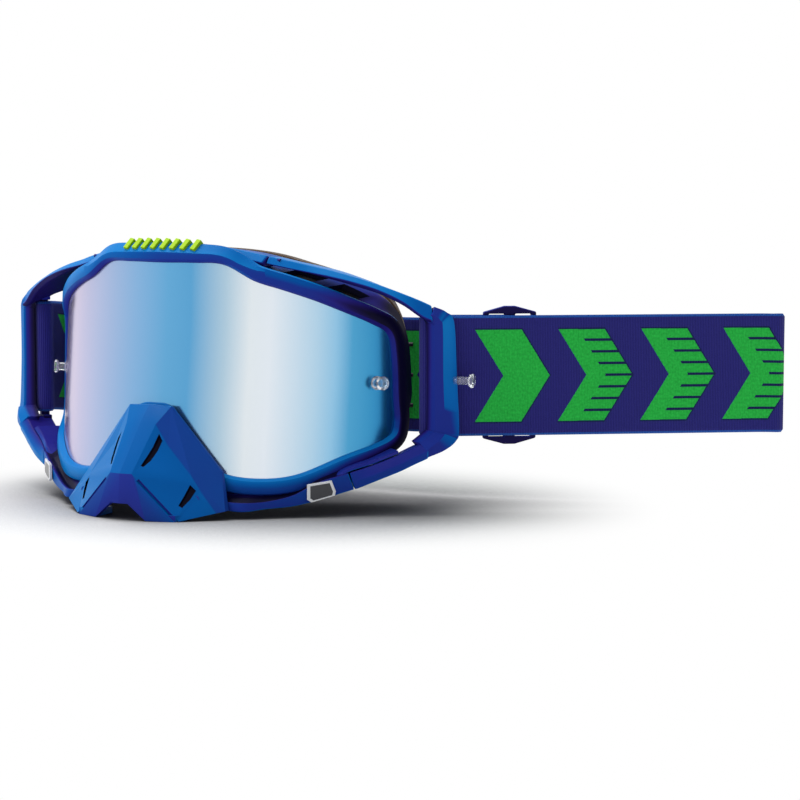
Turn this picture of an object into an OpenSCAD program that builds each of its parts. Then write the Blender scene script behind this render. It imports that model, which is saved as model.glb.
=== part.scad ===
// Motocross goggles with outriggers, a pull-off nose guard and a folded strap.
// Origin: middle of the lens's front face. +X is the wearer's left, +Y points
// back to the face, +Z is up. Millimetres.

/* [Lens] */
// Radius of the cylindrical lens
lens_r = 83.6; // [80:0.2:90]
// Thickness of the lens
lens_t = 1.2; // [0.8:0.1:1.4]
// How far the lens's top leans back, in degrees
lens_lean = 4.7; // [0:0.1:8]
// How far the lens's edge reaches into the groove
lens_bite = 2.1; // [1.2:0.1:2.2]

/* [Frame] */
// Width of the rim round the lens
rim_w = 6.2; // [5:0.1:7]
// Height of the rim's crest over the lens
rim_h = 2.6; // [1.6:0.1:3]
// Height of the rim's crest where the nose guard covers it
rim_nose_h = 0.9; // [0.6:0.1:1.2]
// Free play round the lens in its groove
groove_gap = 0.15; // [0.1:0.01:0.2]
// Wall thickness of the frame
wall = 2.2; // [1.6:0.1:2.6]
// Distance from the lens back to the face flange at the brow
face_depth = 30; // [27:0.5:34]
// How fast the face flange curves back towards the temples
face_curve = 0.005; // [0.0045:0.0001:0.0055]
// Width of the face flange
flange_w = 8; // [6:0.5:9]
// Thickness of the face flange
flange_t = 2; // [1.5:0.1:2.5]

/* [Foam] */
// Thickness of the open base foam
foam_base_t = 5; // [4:0.5:8]
// Thickness of the middle foam
foam_core_t = 5; // [4:0.5:8]
// Thickness of the fleece against the face
fleece_t = 2.5; // [2:0.5:4]
// How far the foam's back leans in at the temples
foam_lean = 5; // [0:0.5:6]
// Thickness of the vents' filter foam
filter_t = 2; // [1:0.5:3]

/* [Outriggers] */
// Plan angle of the strap and its bars, in degrees
strap_angle = 35.7; // [32:0.1:38]
// Height of an outrigger's band where it reaches the frame
arm_h = 3.4; // [2.6:0.1:4]
// Front-to-back depth of the outrigger's arms
arm_d = 8.8; // [8.6:0.1:10]
// Thickness of the rear strap bar
bar_t = 3.4; // [2.8:0.1:4]
// Width of the rear strap bar
bar_w = 5.5; // [5:0.5:7]
// Thickness of the front strap bar
front_bar_t = 4; // [3.5:0.1:4.5]

/* [Strap] */
// Width of the strap
strap_w = 45; // [40:1:45]
// Thickness of the woven strap
strap_t = 1.6; // [1.2:0.1:1.8]
// Height of the strap's middle over the origin
strap_mid_z = -9.9; // [-11:0.1:-9]
// Length of the strap's near half, from the front bar to its fold
near_half = 122; // [110:1:150]
// How far the strap hangs down behind the frame
strap_drop = 4; // [0:0.5:6]
// Length of a slider along the strap
slider_l = 20; // [16:0.5:24]
// Thickness of a slider
slider_t = 2.2; // [1.8:0.1:2.6]
// Distance from the right front bar's edge to its slider's middle
slider_right_at = 20.3; // [18:0.1:40]
// Place of the left slider's middle along X
slider_left_x = -50; // [-56:1:-40]

/* [Nose guard] */
// Wall thickness of the nose guard
guard_t = 2.4; // [2:0.1:2.8]
// Radius of the guard's two pegs
peg_r = 1.6; // [1.2:0.1:2]
// Running gap round the pegs
peg_gap = 0.1; // [0.06:0.01:0.1]

/* [Tear-off posts] */
// Radius of a post's shaft
post_r = 1.5; // [1.2:0.1:1.8]
// Radius of a post's head
post_head_r = 2.6; // [2.2:0.1:3]
// Height of a post over the lens
post_h = 5.2; // [4:0.1:7]

/* [Hidden] */
$fn = 48;

royal = [0.0, 0.38, 0.72];
indigo = [0.16, 0.16, 0.5];
green = [0.08, 0.75, 0.27];

// Right half of the lens's visible edge, as arc length and height on the lens
lens_half = [[0, 32.2], [14, 32.4], [26, 32], [37.5, 26.5], [48, 23.6], [60, 20.2], [72, 16.2], [83, 12.4],
    [89.5, 9], [91.8, 1], [93.3, -14], [94.3, -24], [91, -30], [73, -37], [55.5, -44.4], [41, -46.3],
    [28.6, -44.8], [22.5, -40], [15.5, -30.5], [9, -22.6], [5.2, -20.3], [0, -20]];
// Right half of the face flange's outer edge, as X and Z, at the same stations
face_half = [[0, 37], [15, 36.5], [28, 34.8], [39, 31.6], [49, 28.2], [58, 24.2], [66, 19.4], [71, 14],
    [73.6, 8], [75.2, 0], [75.9, -12], [75.8, -21], [73, -29], [64, -36], [54, -40], [43, -42],
    [34, -40.5], [27, -36], [20, -28], [14, -19.5], [8, -14.5], [0, -13]];
half_n = len(lens_half) - 1;
fine = 2;
loop_n = 2 * half_n * fine;

// Closed loop from a half: the half, then its mirror image backwards
function whole(h) = concat(h, [for (i = [half_n - 1:-1:1]) [-h[i][0], h[i][1]]]);
// Point on a smooth closed curve through p, f of the way from point i to the next
function on_curve(p, i, f) =
    let (n = len(p), a = p[(i + n - 1) % n], b = p[i % n], c = p[(i + 1) % n], d = p[(i + 2) % n])
    b + f * (c - a) / 2 + f * f * (2 * a - 5 * b + 4 * c - d) / 2 + f * f * f * (3 * b - a - 3 * c + d) / 2;
function smooth(p) = [for (i = [0:len(p) - 1], k = [0:fine - 1]) on_curve(p, i, k / fine)];
// Unit vector that points out of a clockwise loop at point i
function outward(p, i) =
    let (n = len(p), v = p[(i + 1) % n] - p[(i + n - 1) % n])
    [-v[1], v[0]] / norm(v);
function grown(p, by) = [for (i = [0:len(p) - 1]) p[i] + by[i] * outward(p, i)];
function all_of(v) = [for (i = [0:loop_n - 1]) v];
lens_loop = smooth(whole(lens_half));
face_loop = smooth(whole(face_half));

// Point at arc length u, height w and height d over the lens, leaned back with it
function on_lens(u, w, d) =
    let (a = u / lens_r * 180 / PI, x = (lens_r + d) * sin(a), y = lens_r - (lens_r + d) * cos(a))
    [x, y * cos(lens_lean) + w * sin(lens_lean), w * cos(lens_lean) - y * sin(lens_lean)];
function face_y(x) = face_depth + face_curve * x * x;
// Distance of station i from the nose, 0 at the nose and 1 from five stations on
function off_nose(i) = min(1, max(0, abs(i - half_n * fine) / fine - 3.5) / 2);
crest = [for (i = [0:loop_n - 1]) rim_nose_h + (rim_h - rim_nose_h) * off_nose(i)];
// The rim is wider over the brow
brow_extra = 1.3;
function brow(i) = max(0, 1 - min(i, loop_n - i) / (3 * fine));
rim_out = [for (i = [0:loop_n - 1]) rim_w + brow_extra * brow(i)];

function lens_ring(by, d) =
    let (g = grown(lens_loop, by)) [for (i = [0:loop_n - 1]) on_lens(g[i][0], g[i][1], d[i])];
function face_ring(by, back) =
    let (g = grown(face_loop, all_of(by))) [for (p = g) [p[0], face_y(p[0]) + back, p[1]]];
function between(a, b, f) = [for (i = [0:len(a) - 1]) a[i] + f * (b[i] - a[i])];

// Tube of triangles through closed rings of points, itself closed into a torus.
// Windows leave out the stretch from ring w[0] to ring w[1], which faces the one
// from w[2] to w[3], and join the two round the hole.
function quad(a, b, c, d) = [[a, b, c], [a, c, d]];
module torus(rings, windows = [], w = []) {
    m = len(rings);
    n = len(rings[0]);
    points = [for (r = rings) each r];
    faces = [for (k = [0:m - 1], i = [0:n - 1])
        let (j = (i + 1) % n, l = (k + 1) % m, open = len(windows) > 0 && windows[i])
        if (!(open && (k == w[0] || k == w[2]))) each quad(k * n + i, l * n + i, l * n + j, k * n + j)];
    reveals = len(windows) == 0 ? [] : [for (i = [0:n - 1])
        let (j = (i + 1) % n, h = (i + n - 1) % n)
        if (windows[i]) each concat(
            quad(w[0] * n + i, w[3] * n + i, w[3] * n + j, w[0] * n + j),
            quad(w[2] * n + i, w[1] * n + i, w[1] * n + j, w[2] * n + j),
            windows[h] ? [] : quad(w[0] * n + i, w[1] * n + i, w[2] * n + i, w[3] * n + i),
            windows[j] ? [] : quad(w[3] * n + j, w[2] * n + j, w[1] * n + j, w[0] * n + j))];
    solid(points, concat(faces, reveals));
}

// Closed solid whose faces all turn outwards, whichever way they were listed
function turned(points, faces) =
    let (sixths = [for (f = faces, k = [1:len(f) - 2]) points[f[0]] * cross(points[f[k]], points[f[k + 1]])],
        ones = [for (v = sixths) 1])
    sixths * ones < 0 ? faces : [for (f = faces) [for (k = [len(f) - 1:-1:0]) f[k]]];
module solid(points, faces) {
    polyhedron(points, turned(points, faces), convexity = 10);
}

// Solid through a row of equal sections, closed at both ends
module loft(sections) {
    m = len(sections);
    n = len(sections[0]);
    points = [for (s = sections) each s];
    sides = [for (k = [0:m - 2], i = [0:n - 1])
        let (j = (i + 1) % n) each quad(k * n + i, k * n + j, (k + 1) * n + j, (k + 1) * n + i)];
    first = [for (i = [n - 1:-1:0]) i];
    last = [for (i = [0:n - 1]) (m - 1) * n + i];
    solid(points, concat(sides, [first, last]));
}

module both() {
    children();
    mirror([1, 0, 0]) children();
}

// Frame

// Stations whose walls are open: the vents over and under the lens
top_vents = [2, 3, 7, 8, 10, 11];
low_vents = [27, 28, 30, 31];
function vent(i) = let (k = min(i, loop_n - 1 - i)) len(search(k, concat(top_vents, low_vents))) > 0;
vents = [for (i = [0:loop_n - 1]) vent(i)];

// How near station i is to a temple, where the wall leaves the rim further out
temple = [for (p = lens_loop) min(1, max(0, (abs(p[0]) - 74) / 12))];
rim_neck = lens_ring(rim_out - all_of(1.8) + 1.5 * temple, all_of(-4) + 2 * temple);
flange_front = face_ring(0, -flange_t);
inner_neck = lens_ring(all_of(lens_bite + 0.5), all_of(-lens_t - groove_gap - 2.8));
inner_wall_end = face_ring(-wall, -flange_t - 0.2);
shell_rings = [
    lens_ring(all_of(0), all_of(groove_gap)),
    lens_ring(all_of(0.4), crest * 0.55),
    lens_ring(all_of(2), crest),
    lens_ring(rim_out - all_of(1.6), crest),
    lens_ring(rim_out, crest - all_of(1.5)),
    lens_ring(rim_out, all_of(-1.5)),
    rim_neck,
    between(rim_neck, flange_front, 0.22),
    between(rim_neck, flange_front, 0.78),
    flange_front,
    face_ring(0, 0),
    face_ring(-flange_w, 0),
    face_ring(-flange_w, -flange_t),
    inner_wall_end,
    between(inner_wall_end, inner_neck, 0.22),
    between(inner_wall_end, inner_neck, 0.78),
    inner_neck,
    lens_ring(all_of(0), all_of(-lens_t - groove_gap - 1.8)),
    lens_ring(all_of(0), all_of(-lens_t - groove_gap)),
    lens_ring(all_of(lens_bite + 0.5), all_of(-lens_t - groove_gap)),
    lens_ring(all_of(lens_bite + 0.5), all_of(groove_gap))];

// Brow: ridge of the bright band over the rim, as X, Y and Z
brow_ridge = [[0, 7, 39.6], [10, 7.6, 39.5], [20, 9.5, 38.7], [29, 13.6, 36.9], [37.6, 17.8, 34.9]];
brow_line = concat([for (i = [4:-1:1]) [-brow_ridge[i][0], brow_ridge[i][1], brow_ridge[i][2]]], brow_ridge);
module brow_bar() {
    loft([for (p = brow_line) [p, p + [0, -4.2, -2.6], p + [0, -2, -4.6], p + [0, 6, -4], p + [0, 6.5, -1.2]]]);
}

// Lower bar under the lens on one side: front top, front bottom, back bottom, back top
low_bar = [
    [[25, -5.5, -54.2], [25, -5.5, -57.2], [24, 0, -57.2], [24, 1.5, -51.6]],
    [[38, -4.2, -54.8], [39, -4.6, -58.2], [36.5, 2, -58], [35.5, 4.5, -51.4]],
    [[46, 1.8, -54.6], [46.4, 1.7, -57.4], [43.5, 7.5, -57], [42.5, 9.4, -50.6]],
    [[54, 8.4, -52.4], [54.4, 8.6, -56.6], [51, 13.6, -56], [50, 15.4, -48.6]],
    [[61, 13, -48.2], [62, 14.8, -54.4], [58, 19, -54], [56.5, 20, -45.8]],
    [[70, 21.2, -44.8], [71.6, 23, -51], [67.5, 27, -50.6], [66, 26, -43]]];

// Web on one side from the rim's lower corner out to the lower arm's top edge. Each
// section has a lower and an upper front corner, and two corners inside the rim
web_front = [
    [[65.2, 18.6, -47.6], [64.9, 19.4, -46.6]],
    [[70.3, 22, -44.2], [69.8, 22.7, -42.7]],
    [[76.7, 28, -41.7], [76.1, 28.9, -40.3]],
    [[84.5, 33.6, -37.9], [83.6, 34.8, -36.9]]];
web_in = lens_ring(rim_out - all_of(2.2), all_of(-1));
web_low = lens_ring(rim_out - all_of(0.7), all_of(-1));
module corner_web() {
    loft([for (k = [0:3]) let (i = [27, 26, 25, 24][k]) concat(web_front[k], [web_in[i], web_low[i]])]);
}

// Bosses that take the nose guard's pegs
peg_x = 25;
peg_z = -53.4;
boss_wall = 1.8;
module along_y(x, y, z, h, r) {
    translate([x, y, z]) rotate([90, 0, 0]) cylinder(h = h, r = r);
}
module peg_boss() {
    along_y(peg_x, 2.6, peg_z, 9, peg_r + boss_wall);
    translate([peg_x - 2.6, -2, peg_z]) cube([5.2, 4.6, 6]);
}

// Pins that hold the outriggers' ends: X of the inner end, Y, Z, length
pin_r = 0.8;
pin_gap = 0.05;
upper_pin = [34.4, 19.3, 33, 8];
lower_pin = [67.6, 25.6, -48, 7];
module pin_rod(pin, r, extra) {
    translate([pin[0] - extra, pin[1], pin[2]]) rotate([0, 90, 0]) cylinder(h = pin[3] + 2 * extra, r = r);
}
module pin_bores() {
    pin_rod(upper_pin, pin_r + pin_gap, 0.2);
    pin_rod(lower_pin, pin_r + pin_gap, 0.2);
}

module frame_wall() {
    torus(shell_rings, vents, [7, 8, 14, 15]);
    brow_bar();
}
module frame_shell() {
    color(royal)
        difference() {
            union() {
                frame_wall();
                both() {
                    loft(low_bar);
                    corner_web();
                    peg_boss();
                }
            }
            both() {
                along_y(peg_x, 3.2, peg_z, 11, peg_r + peg_gap);
                pin_bores();
            }
        }
}

// Lens: columns along the arc, each from the lower edge to the upper one
lens_cols = 64;
lens_edge = grown(lens_loop, all_of(lens_bite));
lens_top = [for (i = [0:half_n * fine]) if (i <= 11 * fine - 1) lens_edge[i]];
lens_low = [for (i = [half_n * fine:-1:0]) if (i >= 11 * fine - 1) lens_edge[i]];
lens_half_arc = lens_edge[11 * fine - 1][0];
module lens_blank() {
    cols = [for (i = [0:lens_cols])
        let (u = lens_half_arc * sin(90 * (2 * i / lens_cols - 1)), v = min(abs(u), lens_half_arc - 0.02))
        [u, lookup(v, lens_low), lookup(v, lens_top)]];
    points = [for (c = cols) each [on_lens(c[0], c[1], 0), on_lens(c[0], c[2], 0),
        on_lens(c[0], c[2], -lens_t), on_lens(c[0], c[1], -lens_t)]];
    loft([for (i = [0:lens_cols]) [for (k = [0:3]) points[4 * i + k]]]);
}

// Tear-off posts stand square on the lens near its ends
post_u = 86;
post_w = -9.5;
module at_post(side) {
    rotate([-lens_lean, 0, 0])
        translate([0, lens_r, post_w])
            rotate([0, 0, side * post_u / lens_r * 180 / PI])
                translate([0, -lens_r, 0])
                    rotate([90, 0, 0])
                        children();
}

module lens() {
    color([0.45, 0.75, 0.9])
        difference() {
            lens_blank();
            for (side = [-1, 1])
                at_post(side) translate([0, 0, -lens_t - 1]) cylinder(h = lens_t + 2, r = post_r + 0.1);
        }
}

module lens_posts() {
    color([0.85, 0.88, 0.9])
        for (side = [-1, 1])
            at_post(side) {
                translate([0, 0, -lens_t - 1.6]) cylinder(h = post_h + lens_t + 1.6, r = post_r);
                translate([0, 0, 0.05]) cylinder(h = 0.8, r = post_head_r);
                translate([0, 0, post_h - 1.4]) cylinder(h = 1.4, r = post_head_r);
            }
}

module post_nuts() {
    color([0.85, 0.88, 0.9])
        for (side = [-1, 1])
            at_post(side)
                difference() {
                    translate([0, 0, -lens_t - 1.9]) cylinder(h = 1.8, r = 3);
                    translate([0, 0, -lens_t - 2.5]) cylinder(h = 3, r = post_r + 0.05);
                }
}

// Plain raised bars over the rim's front and top edge at the brow
grip_bars = 8;
grip_span = 30;
grip_w = 2.6;
module brow_grip() {
    color(green)
        difference() {
            for (i = [0:grip_bars - 1]) {
                x = grip_span * (i / (grip_bars - 1) - 0.5);
                translate([x, 0.006 * x * x, 38 - 0.0008 * x * x])
                    rotate([0, 10, 0]) translate([-grip_w / 2, -0.3, -2]) cube([grip_w, 6.3, 4.1]);
            }
            frame_wall();
        }
}

// Bare six-sided plates low on the frame
module badge() {
    translate([62.1, 14.3, -51]) rotate([0, -8, 42])
        rotate([90, 0, 0])
            linear_extrude(1) polygon([[-5.4, -2.4], [-4, -3.6], [5, -2.6], [5.6, -1], [4.6, 3.2], [-4.6, 3.2]]);
}
module badges() {
    color([0.92, 0.92, 0.92]) both()
        difference() {
            badge();
            loft(low_bar);
        }
}

// Nose guard: corners of its right half, front face, and how thick it is there
guard_pts = [
    [0, -5.6, -20.4], [9.3, -4.9, -20.8],
    [0, -11.8, -27], [6.5, -11.1, -27],
    [0, -24.9, -44], [4.8, -24.2, -44],
    [0, -26, -54.9], [3.9, -25.7, -54.9],
    [11.2, -24.9, -60.8], [21.7, -21.2, -61],
    [11.9, -11, -34.4], [23.2, -11.5, -47], [26.6, -10.6, -50.4],
    [35.4, -8.8, -57.6], [29.5, -1.7, -44.4]];
guard_back = [1.4, 1.3, guard_t, guard_t, guard_t, guard_t, guard_t, guard_t, guard_t, guard_t,
    guard_t, guard_t, guard_t, guard_t, 1.2];
guard_tris = [
    [0, 2, 3], [0, 3, 1], [2, 4, 5], [2, 5, 3], [4, 6, 7], [4, 7, 5],
    [5, 7, 8], [5, 8, 9], [3, 5, 10], [10, 5, 11], [5, 9, 11], [11, 9, 12], [12, 9, 13],
    [1, 3, 10], [1, 10, 11], [1, 11, 14], [14, 11, 12], [14, 12, 13]];
guard_edge = [0, 1, 14, 13, 9, 8, 7, 6];
// One half of the guard, as a closed solid between its front and its back
module guard_half() {
    n = len(guard_pts);
    back = [for (i = [0:n - 1]) guard_pts[i] + [0, guard_back[i], 0]];
    front_faces = [for (t = guard_tris) [t[0], t[1], t[2]]];
    back_faces = [for (t = guard_tris) [n + t[2], n + t[1], n + t[0]]];
    rim_faces = [for (i = [0:len(guard_edge) - 2])
        let (a = guard_edge[i], b = guard_edge[i + 1]) each quad(a, b, n + b, n + a)];
    middle = [[0, n, n + 2, n + 4, n + 6, 6, 4, 2]];
    solid(concat(guard_pts, back), concat(front_faces, back_faces, rim_faces, middle));
}
// Cuts in the guard's right half, as X and Z: a tapering vent, a small vent
guard_vent = [[8.4, -30.3], [10, -32.8], [9.7, -36.2], [8.8, -39.6], [7.4, -41.7], [6.5, -41.3], [7.3, -38.2], [8, -34.8]];
guard_slit = [[22.7, -48.2], [24.9, -50.3], [24, -53.4], [22.5, -56.1], [21.2, -55.4], [22, -52]];
// A groove along the fold over the foot: its two ends, half its width, and how deep it goes
groove_from = [7, -23.9, -46.2];
groove_to = [22.3, -20.9, -61.1];
groove_half = [0.38, 0, 0.39];
groove_d = 1.2;
// How deep the vents go, measured front to back
vent_d = 1.7;
module guard_cuts() {
    difference() {
        for (shape = [guard_vent, guard_slit])
            rotate([90, 0, 0]) linear_extrude(40) polygon(shape);
        translate([0, vent_d, 0]) guard_half();
    }
    loft([for (p = [groove_from, groove_to])
        [p + groove_half - [0, 9, 0], p - groove_half - [0, 9, 0],
            p - groove_half + [0, groove_d, 0], p + groove_half + [0, groove_d, 0]]]);
}
foot_z = -61;
module guard_foot() {
    translate([0, 0, foot_z])
        linear_extrude(2.4) polygon([[11.4, -24.4], [21.6, -20.8], [23.5, -17.5], [21, -11], [12.5, -12.5]]);
}
module guard_peg() {
    translate([peg_x, -1.5, peg_z]) rotate([90, 0, 0]) cylinder(h = 11.2, r = peg_r);
}
module nose_guard() {
    color(royal) both() {
        difference() {
            guard_half();
            guard_cuts();
        }
        guard_foot();
        guard_peg();
    }
}

// Outriggers

// Point in plan at s along the strap and t behind the front bar's front face
bar_edge = [102.4, 46.6];
along = [cos(strap_angle), sin(strap_angle)];
behind = [-sin(strap_angle), cos(strap_angle)];
function plan(s, t) = bar_edge + s * along + t * behind;
function plan3(s, t, z) = concat(plan(s, t), [z]);

slot_gap = 0.4;
band_t = front_bar_t + 2 * slot_gap + strap_t / 2;
bar_mid_t = band_t + strap_t / 2 + slot_gap + bar_t / 2;
bar_in_s = -11.6;
strap_top = strap_mid_z + strap_w / 2;
strap_low = strap_mid_z - strap_w / 2;

// Ridge along the upper arm and front lower edge of the lower arm, as X, Y and Z
upper_edge = [[38, 18, 34.7], [46, 21, 32.9], [52, 23.7, 31.4], [60, 26.3, 29.5], [68, 29.5, 27.2],
    [76, 33.2, 24.4], [84, 37, 21.2], [90, 40.2, 18.5], [93.6, 42.2, 16.6]];
lower_edge = [[94.6, 37.8, -39.7], [90, 34.6, -42.2], [86, 31.7, -44.5], [78, 26.1, -48.3]];
// Lower arm's end, which faces the end of the frame's lower bar across a fine seam
lower_end = [[71.9, 23.3, -51.1], [71.1, 22.3, -48], [70.4, 21.6, -44.6], [67.2, 26.6, -46.2], [67.8, 27.4, -50.4]];
back3 = [behind[0], behind[1], 0];
function lift(p, back, up) = p + back * back3 + [0, 0, up];
// The upper arm turns square to the frame and thins where it passes over the frame's wall
function ramp(x, from, to) = min(1, max(0, (x - from) / (to - from)));
upper_sections = [for (p = upper_edge)
    let (a = strap_angle * ramp(p[0], 38, 84), q = [-sin(a), cos(a), 0], thick = ramp(p[0], 46, 66) - ramp(p[0], 80, 90) / 2)
    [p, p - 2.4 * q - [0, 0, arm_h - 0.6 - 0.8 * thick], p - 0.4 * q - [0, 0, arm_h - 0.4 + 0.4 * thick],
        p + arm_d * q - [0, 0, 1.8 + 1.6 * thick], p + arm_d * q - [0, 0, 0.6]]];
lower_sections = concat([for (p = lower_edge)
    [p, lift(p, -0.5, 3), lift(p, 2, arm_h + 2.8), lift(p, arm_d + 4, arm_h + 2), lift(p, arm_d + 4, 0.8)]], [lower_end]);
// Front bar: sections of five corners, each as place along, place behind and Z
front_bar = [
    [[-8.6, 2, 16.2], [-9.6, -0.5, 13.6], [-11.4, 0.6, 12.8], [-13.8, 4, 13], [-9, 4, 15.8]],
    [[-4.2, 2.2, 14.2], [-6.6, -0.2, 11.2], [-9.2, 0.2, 10.2], [-12, 4, 10.6], [-4.6, 4, 14]],
    [[-1.2, 2.4, 10], [-5.8, 0, 8.2], [-8.8, 0.2, 7.6], [-11.5, 4, 7.8], [-1.6, 4, 9.8]],
    [[-0.2, 2.2, -10], [-5.6, 0, -10], [-8.7, 0.2, -10], [-11.4, 4, -10], [-0.6, 4, -10]],
    [[0.5, 1, -29], [-5, -0.6, -28.6], [-8.7, -0.2, -28.2], [-11.5, 4, -27.6], [0, 4, -29]],
    [[-0.8, -0.6, -33.4], [-5.4, -1.6, -31], [-9.4, -0.8, -30], [-12.2, 4, -29.8], [-1.2, 4, -33]],
    [[-5.4, -2, -36.8], [-8, -2.5, -33.6], [-11.4, -0.8, -31.6], [-14, 4, -31.4], [-6, 4, -36.2]],
    [[-12.4, -2.3, -39.6], [-12.4, -2.8, -36.8], [-14.4, -0.4, -33.9], [-17, 4, -33.8], [-12.4, 3.9, -38.8]]];

module rear_bar() {
    translate([0, 0, strap_low - 5.4])
        linear_extrude(strap_w + 7.6)
            polygon([for (a = [90:15:270]) plan(bar_in_s + bar_t / 2 + bar_t / 2 * cos(a), bar_mid_t + bar_t / 2 * sin(a)),
                for (a = [-60:30:60]) plan(bar_in_s + bar_w - bar_t / 2 + bar_t / 2 * cos(a), bar_mid_t + bar_t / 2 * sin(a))]);
}
// Blocks that join the rear bar's ends to the arms
module bar_end(from, to, low, high) {
    t = [bar_mid_t - bar_t / 2, bar_mid_t + bar_t / 2];
    translate([0, 0, low])
        linear_extrude(high - low) polygon([plan(from, t[0]), plan(to, t[0]), plan(to, t[1]), plan(from, t[1])]);
}

module outrigger() {
    difference() {
        union() {
            loft(upper_sections);
            loft(lower_sections);
            loft([for (section = front_bar) [for (c = section) plan3(c[0], c[1], c[2])]]);
            rear_bar();
            bar_end(bar_in_s - 2, bar_in_s + bar_w - 0.4, strap_top + 0.7, strap_top + 2.4);
            bar_end(bar_in_s - 2, bar_in_s + bar_w - 0.4, strap_low - 5.6, strap_low - 1.4);
        }
        pin_bores();
    }
}
module outrigger_right() {
    color(royal) outrigger();
}
module outrigger_left() {
    color(royal) mirror([1, 0, 0]) outrigger();
}
module outrigger_pins() {
    color(indigo) both() {
        pin_rod(upper_pin, pin_r, 0);
        pin_rod(lower_pin, pin_r, 0);
    }
}
// Post on the right outrigger's outer edge, leaning forward clear of the strap
edge_post_lean = 26;
module edge_post(r, from, to) {
    translate(plan3(-1.2, 2.2, -11.2)) rotate([0, 90, strap_angle - edge_post_lean])
        translate([0, 0, from]) cylinder(h = to - from, r = r);
}
module outrigger_posts() {
    color([0.85, 0.88, 0.9])
        difference() {
            union() {
                edge_post(post_r, 0, post_h + 2.4);
                edge_post(post_head_r, post_h + 1, post_h + 2.4);
            }
            loft([for (section = front_bar) [for (c = section) plan3(c[0], c[1], c[2])]]);
        }
}

// Foam: rings whose sides draw in and whose back is crowned
// Thickness of the glue line between the layers
glue = 0.12;
foam_t = foam_base_t + foam_core_t + fleece_t;
face_temple = [for (p = face_loop) min(1, max(0, (abs(p[0]) - 64) / 11))];
function foam_ring(by, back) =
    let (g = grown(face_loop, all_of(by) - foam_lean * back / foam_t * face_temple))
    [for (p = g) [p[0], face_y(p[0]) + back, p[1]]];
function foam_rings(back, t, inset, crown) = [
    foam_ring(-inset, back), foam_ring(-inset - 0.4, back + t * 0.5), foam_ring(-inset, back + t),
    foam_ring(-flange_w / 2, back + t + crown),
    foam_ring(-flange_w - 1.2 + inset, back + t), foam_ring(-flange_w - 0.6 + inset, back + t * 0.5),
    foam_ring(-flange_w - 1.2 + inset, back), foam_ring(-flange_w / 2, back)];
module face_foam_base() {
    color([0.2, 0.15, 0.1]) torus(foam_rings(glue, foam_base_t - glue, 0.3, 0));
}
module face_foam_core() {
    color([0.35, 0.2, 0.08]) torus(foam_rings(foam_base_t + glue, foam_core_t - glue, 0, 0));
}
module face_fleece() {
    color([0.08, 0.08, 0.08]) torus(foam_rings(foam_base_t + foam_core_t + glue, fleece_t - glue, 0.6, 0.8));
}

// Filter foam: a strip under the wall between two stations
function inner_at(f) = between(inner_wall_end, inner_neck, f);
function shrunk(ring, by) = [for (i = [0:loop_n - 1])
    let (o = outward(face_loop, i)) ring[i] - by * [o[0], 0, o[1]]];
filter_gap = 0.3;
module filter_strip(first, last) {
    a = shrunk(inner_at(0.1), filter_gap);
    b = shrunk(inner_at(0.9), filter_gap);
    c = shrunk(inner_at(0.9), filter_gap + filter_t);
    d = shrunk(inner_at(0.1), filter_gap + filter_t);
    loft([for (k = [first:last]) let (i = (k + loop_n) % loop_n) [a[i], b[i], c[i], d[i]]]);
}
module top_vent_foam() {
    color([0.12, 0.12, 0.12]) filter_strip(-14, 14);
}
module bottom_vent_foam() {
    color([0.12, 0.12, 0.12]) both() filter_strip(26, 33);
}

// Strap

// Arc of points in plan, with angles measured from the strap's own direction
function arc_pts(c, r, a0, a1, n) = [for (i = [0:n]) c + r * (cos(a0 + (a1 - a0) * i / n) * along + sin(a0 + (a1 - a0) * i / n) * behind)];
loop_r = bar_t / 2 + slot_gap + strap_t / 2;
loop_c = plan(bar_in_s + bar_t / 2, bar_mid_t);
loop_end_s = bar_in_s + bar_w;
right_loop = concat([plan(loop_end_s, bar_mid_t + loop_r)], arc_pts(loop_c, loop_r, 90, 270, 12));
fold_r = 3;
fold_c = plan(near_half, band_t + fold_r);
fold_turn = 162;
fold = arc_pts(fold_c, fold_r, -90, -90 + fold_turn, 10);
// Middle of the strap behind the frame, from the fold round to the left side
temple_room = 6.8;
temple_back = face_y(face_half[9][0]) + foam_t + temple_room;
rear_slope = 1 / 60;
rear_clear = 7.2;
function rear_y(x) = temple_back + rear_clear + rear_slope * x;
rear_line = [[150, rear_y(150) + 22.8], [110, rear_y(110) + 10.5], [84, rear_y(84) + 3.7], [62, rear_y(62) + 0.5],
    [30, rear_y(30)], [-62, rear_y(-62)], [-78, rear_y(-78) - 0.6], [-88, rear_y(-88) - 4.4],
    [-94.5, temple_back - 7.6], [-97.6, temple_back - 17.6], [-98.4, temple_back - 23]];
function flip(p) = [-p[0], p[1]];
left_loop = [for (i = [len(right_loop) - 1:-1:0]) flip(right_loop[i])];
left_slot = [flip(plan(-2.5, band_t)), flip(plan(-8, band_t))];
band_path = concat(right_loop, fold, rear_line, left_slot, left_loop);

// Side of a path: points offset to its left by d
function reversed(p) = [for (i = [len(p) - 1:-1:0]) p[i]];
function path_side(p, d) = [for (i = [0:len(p) - 1])
    let (a = p[max(0, i - 1)], b = p[min(len(p) - 1, i + 1)], v = (b - a) / norm(b - a)) p[i] + d * [-v[1], v[0]]];
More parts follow.
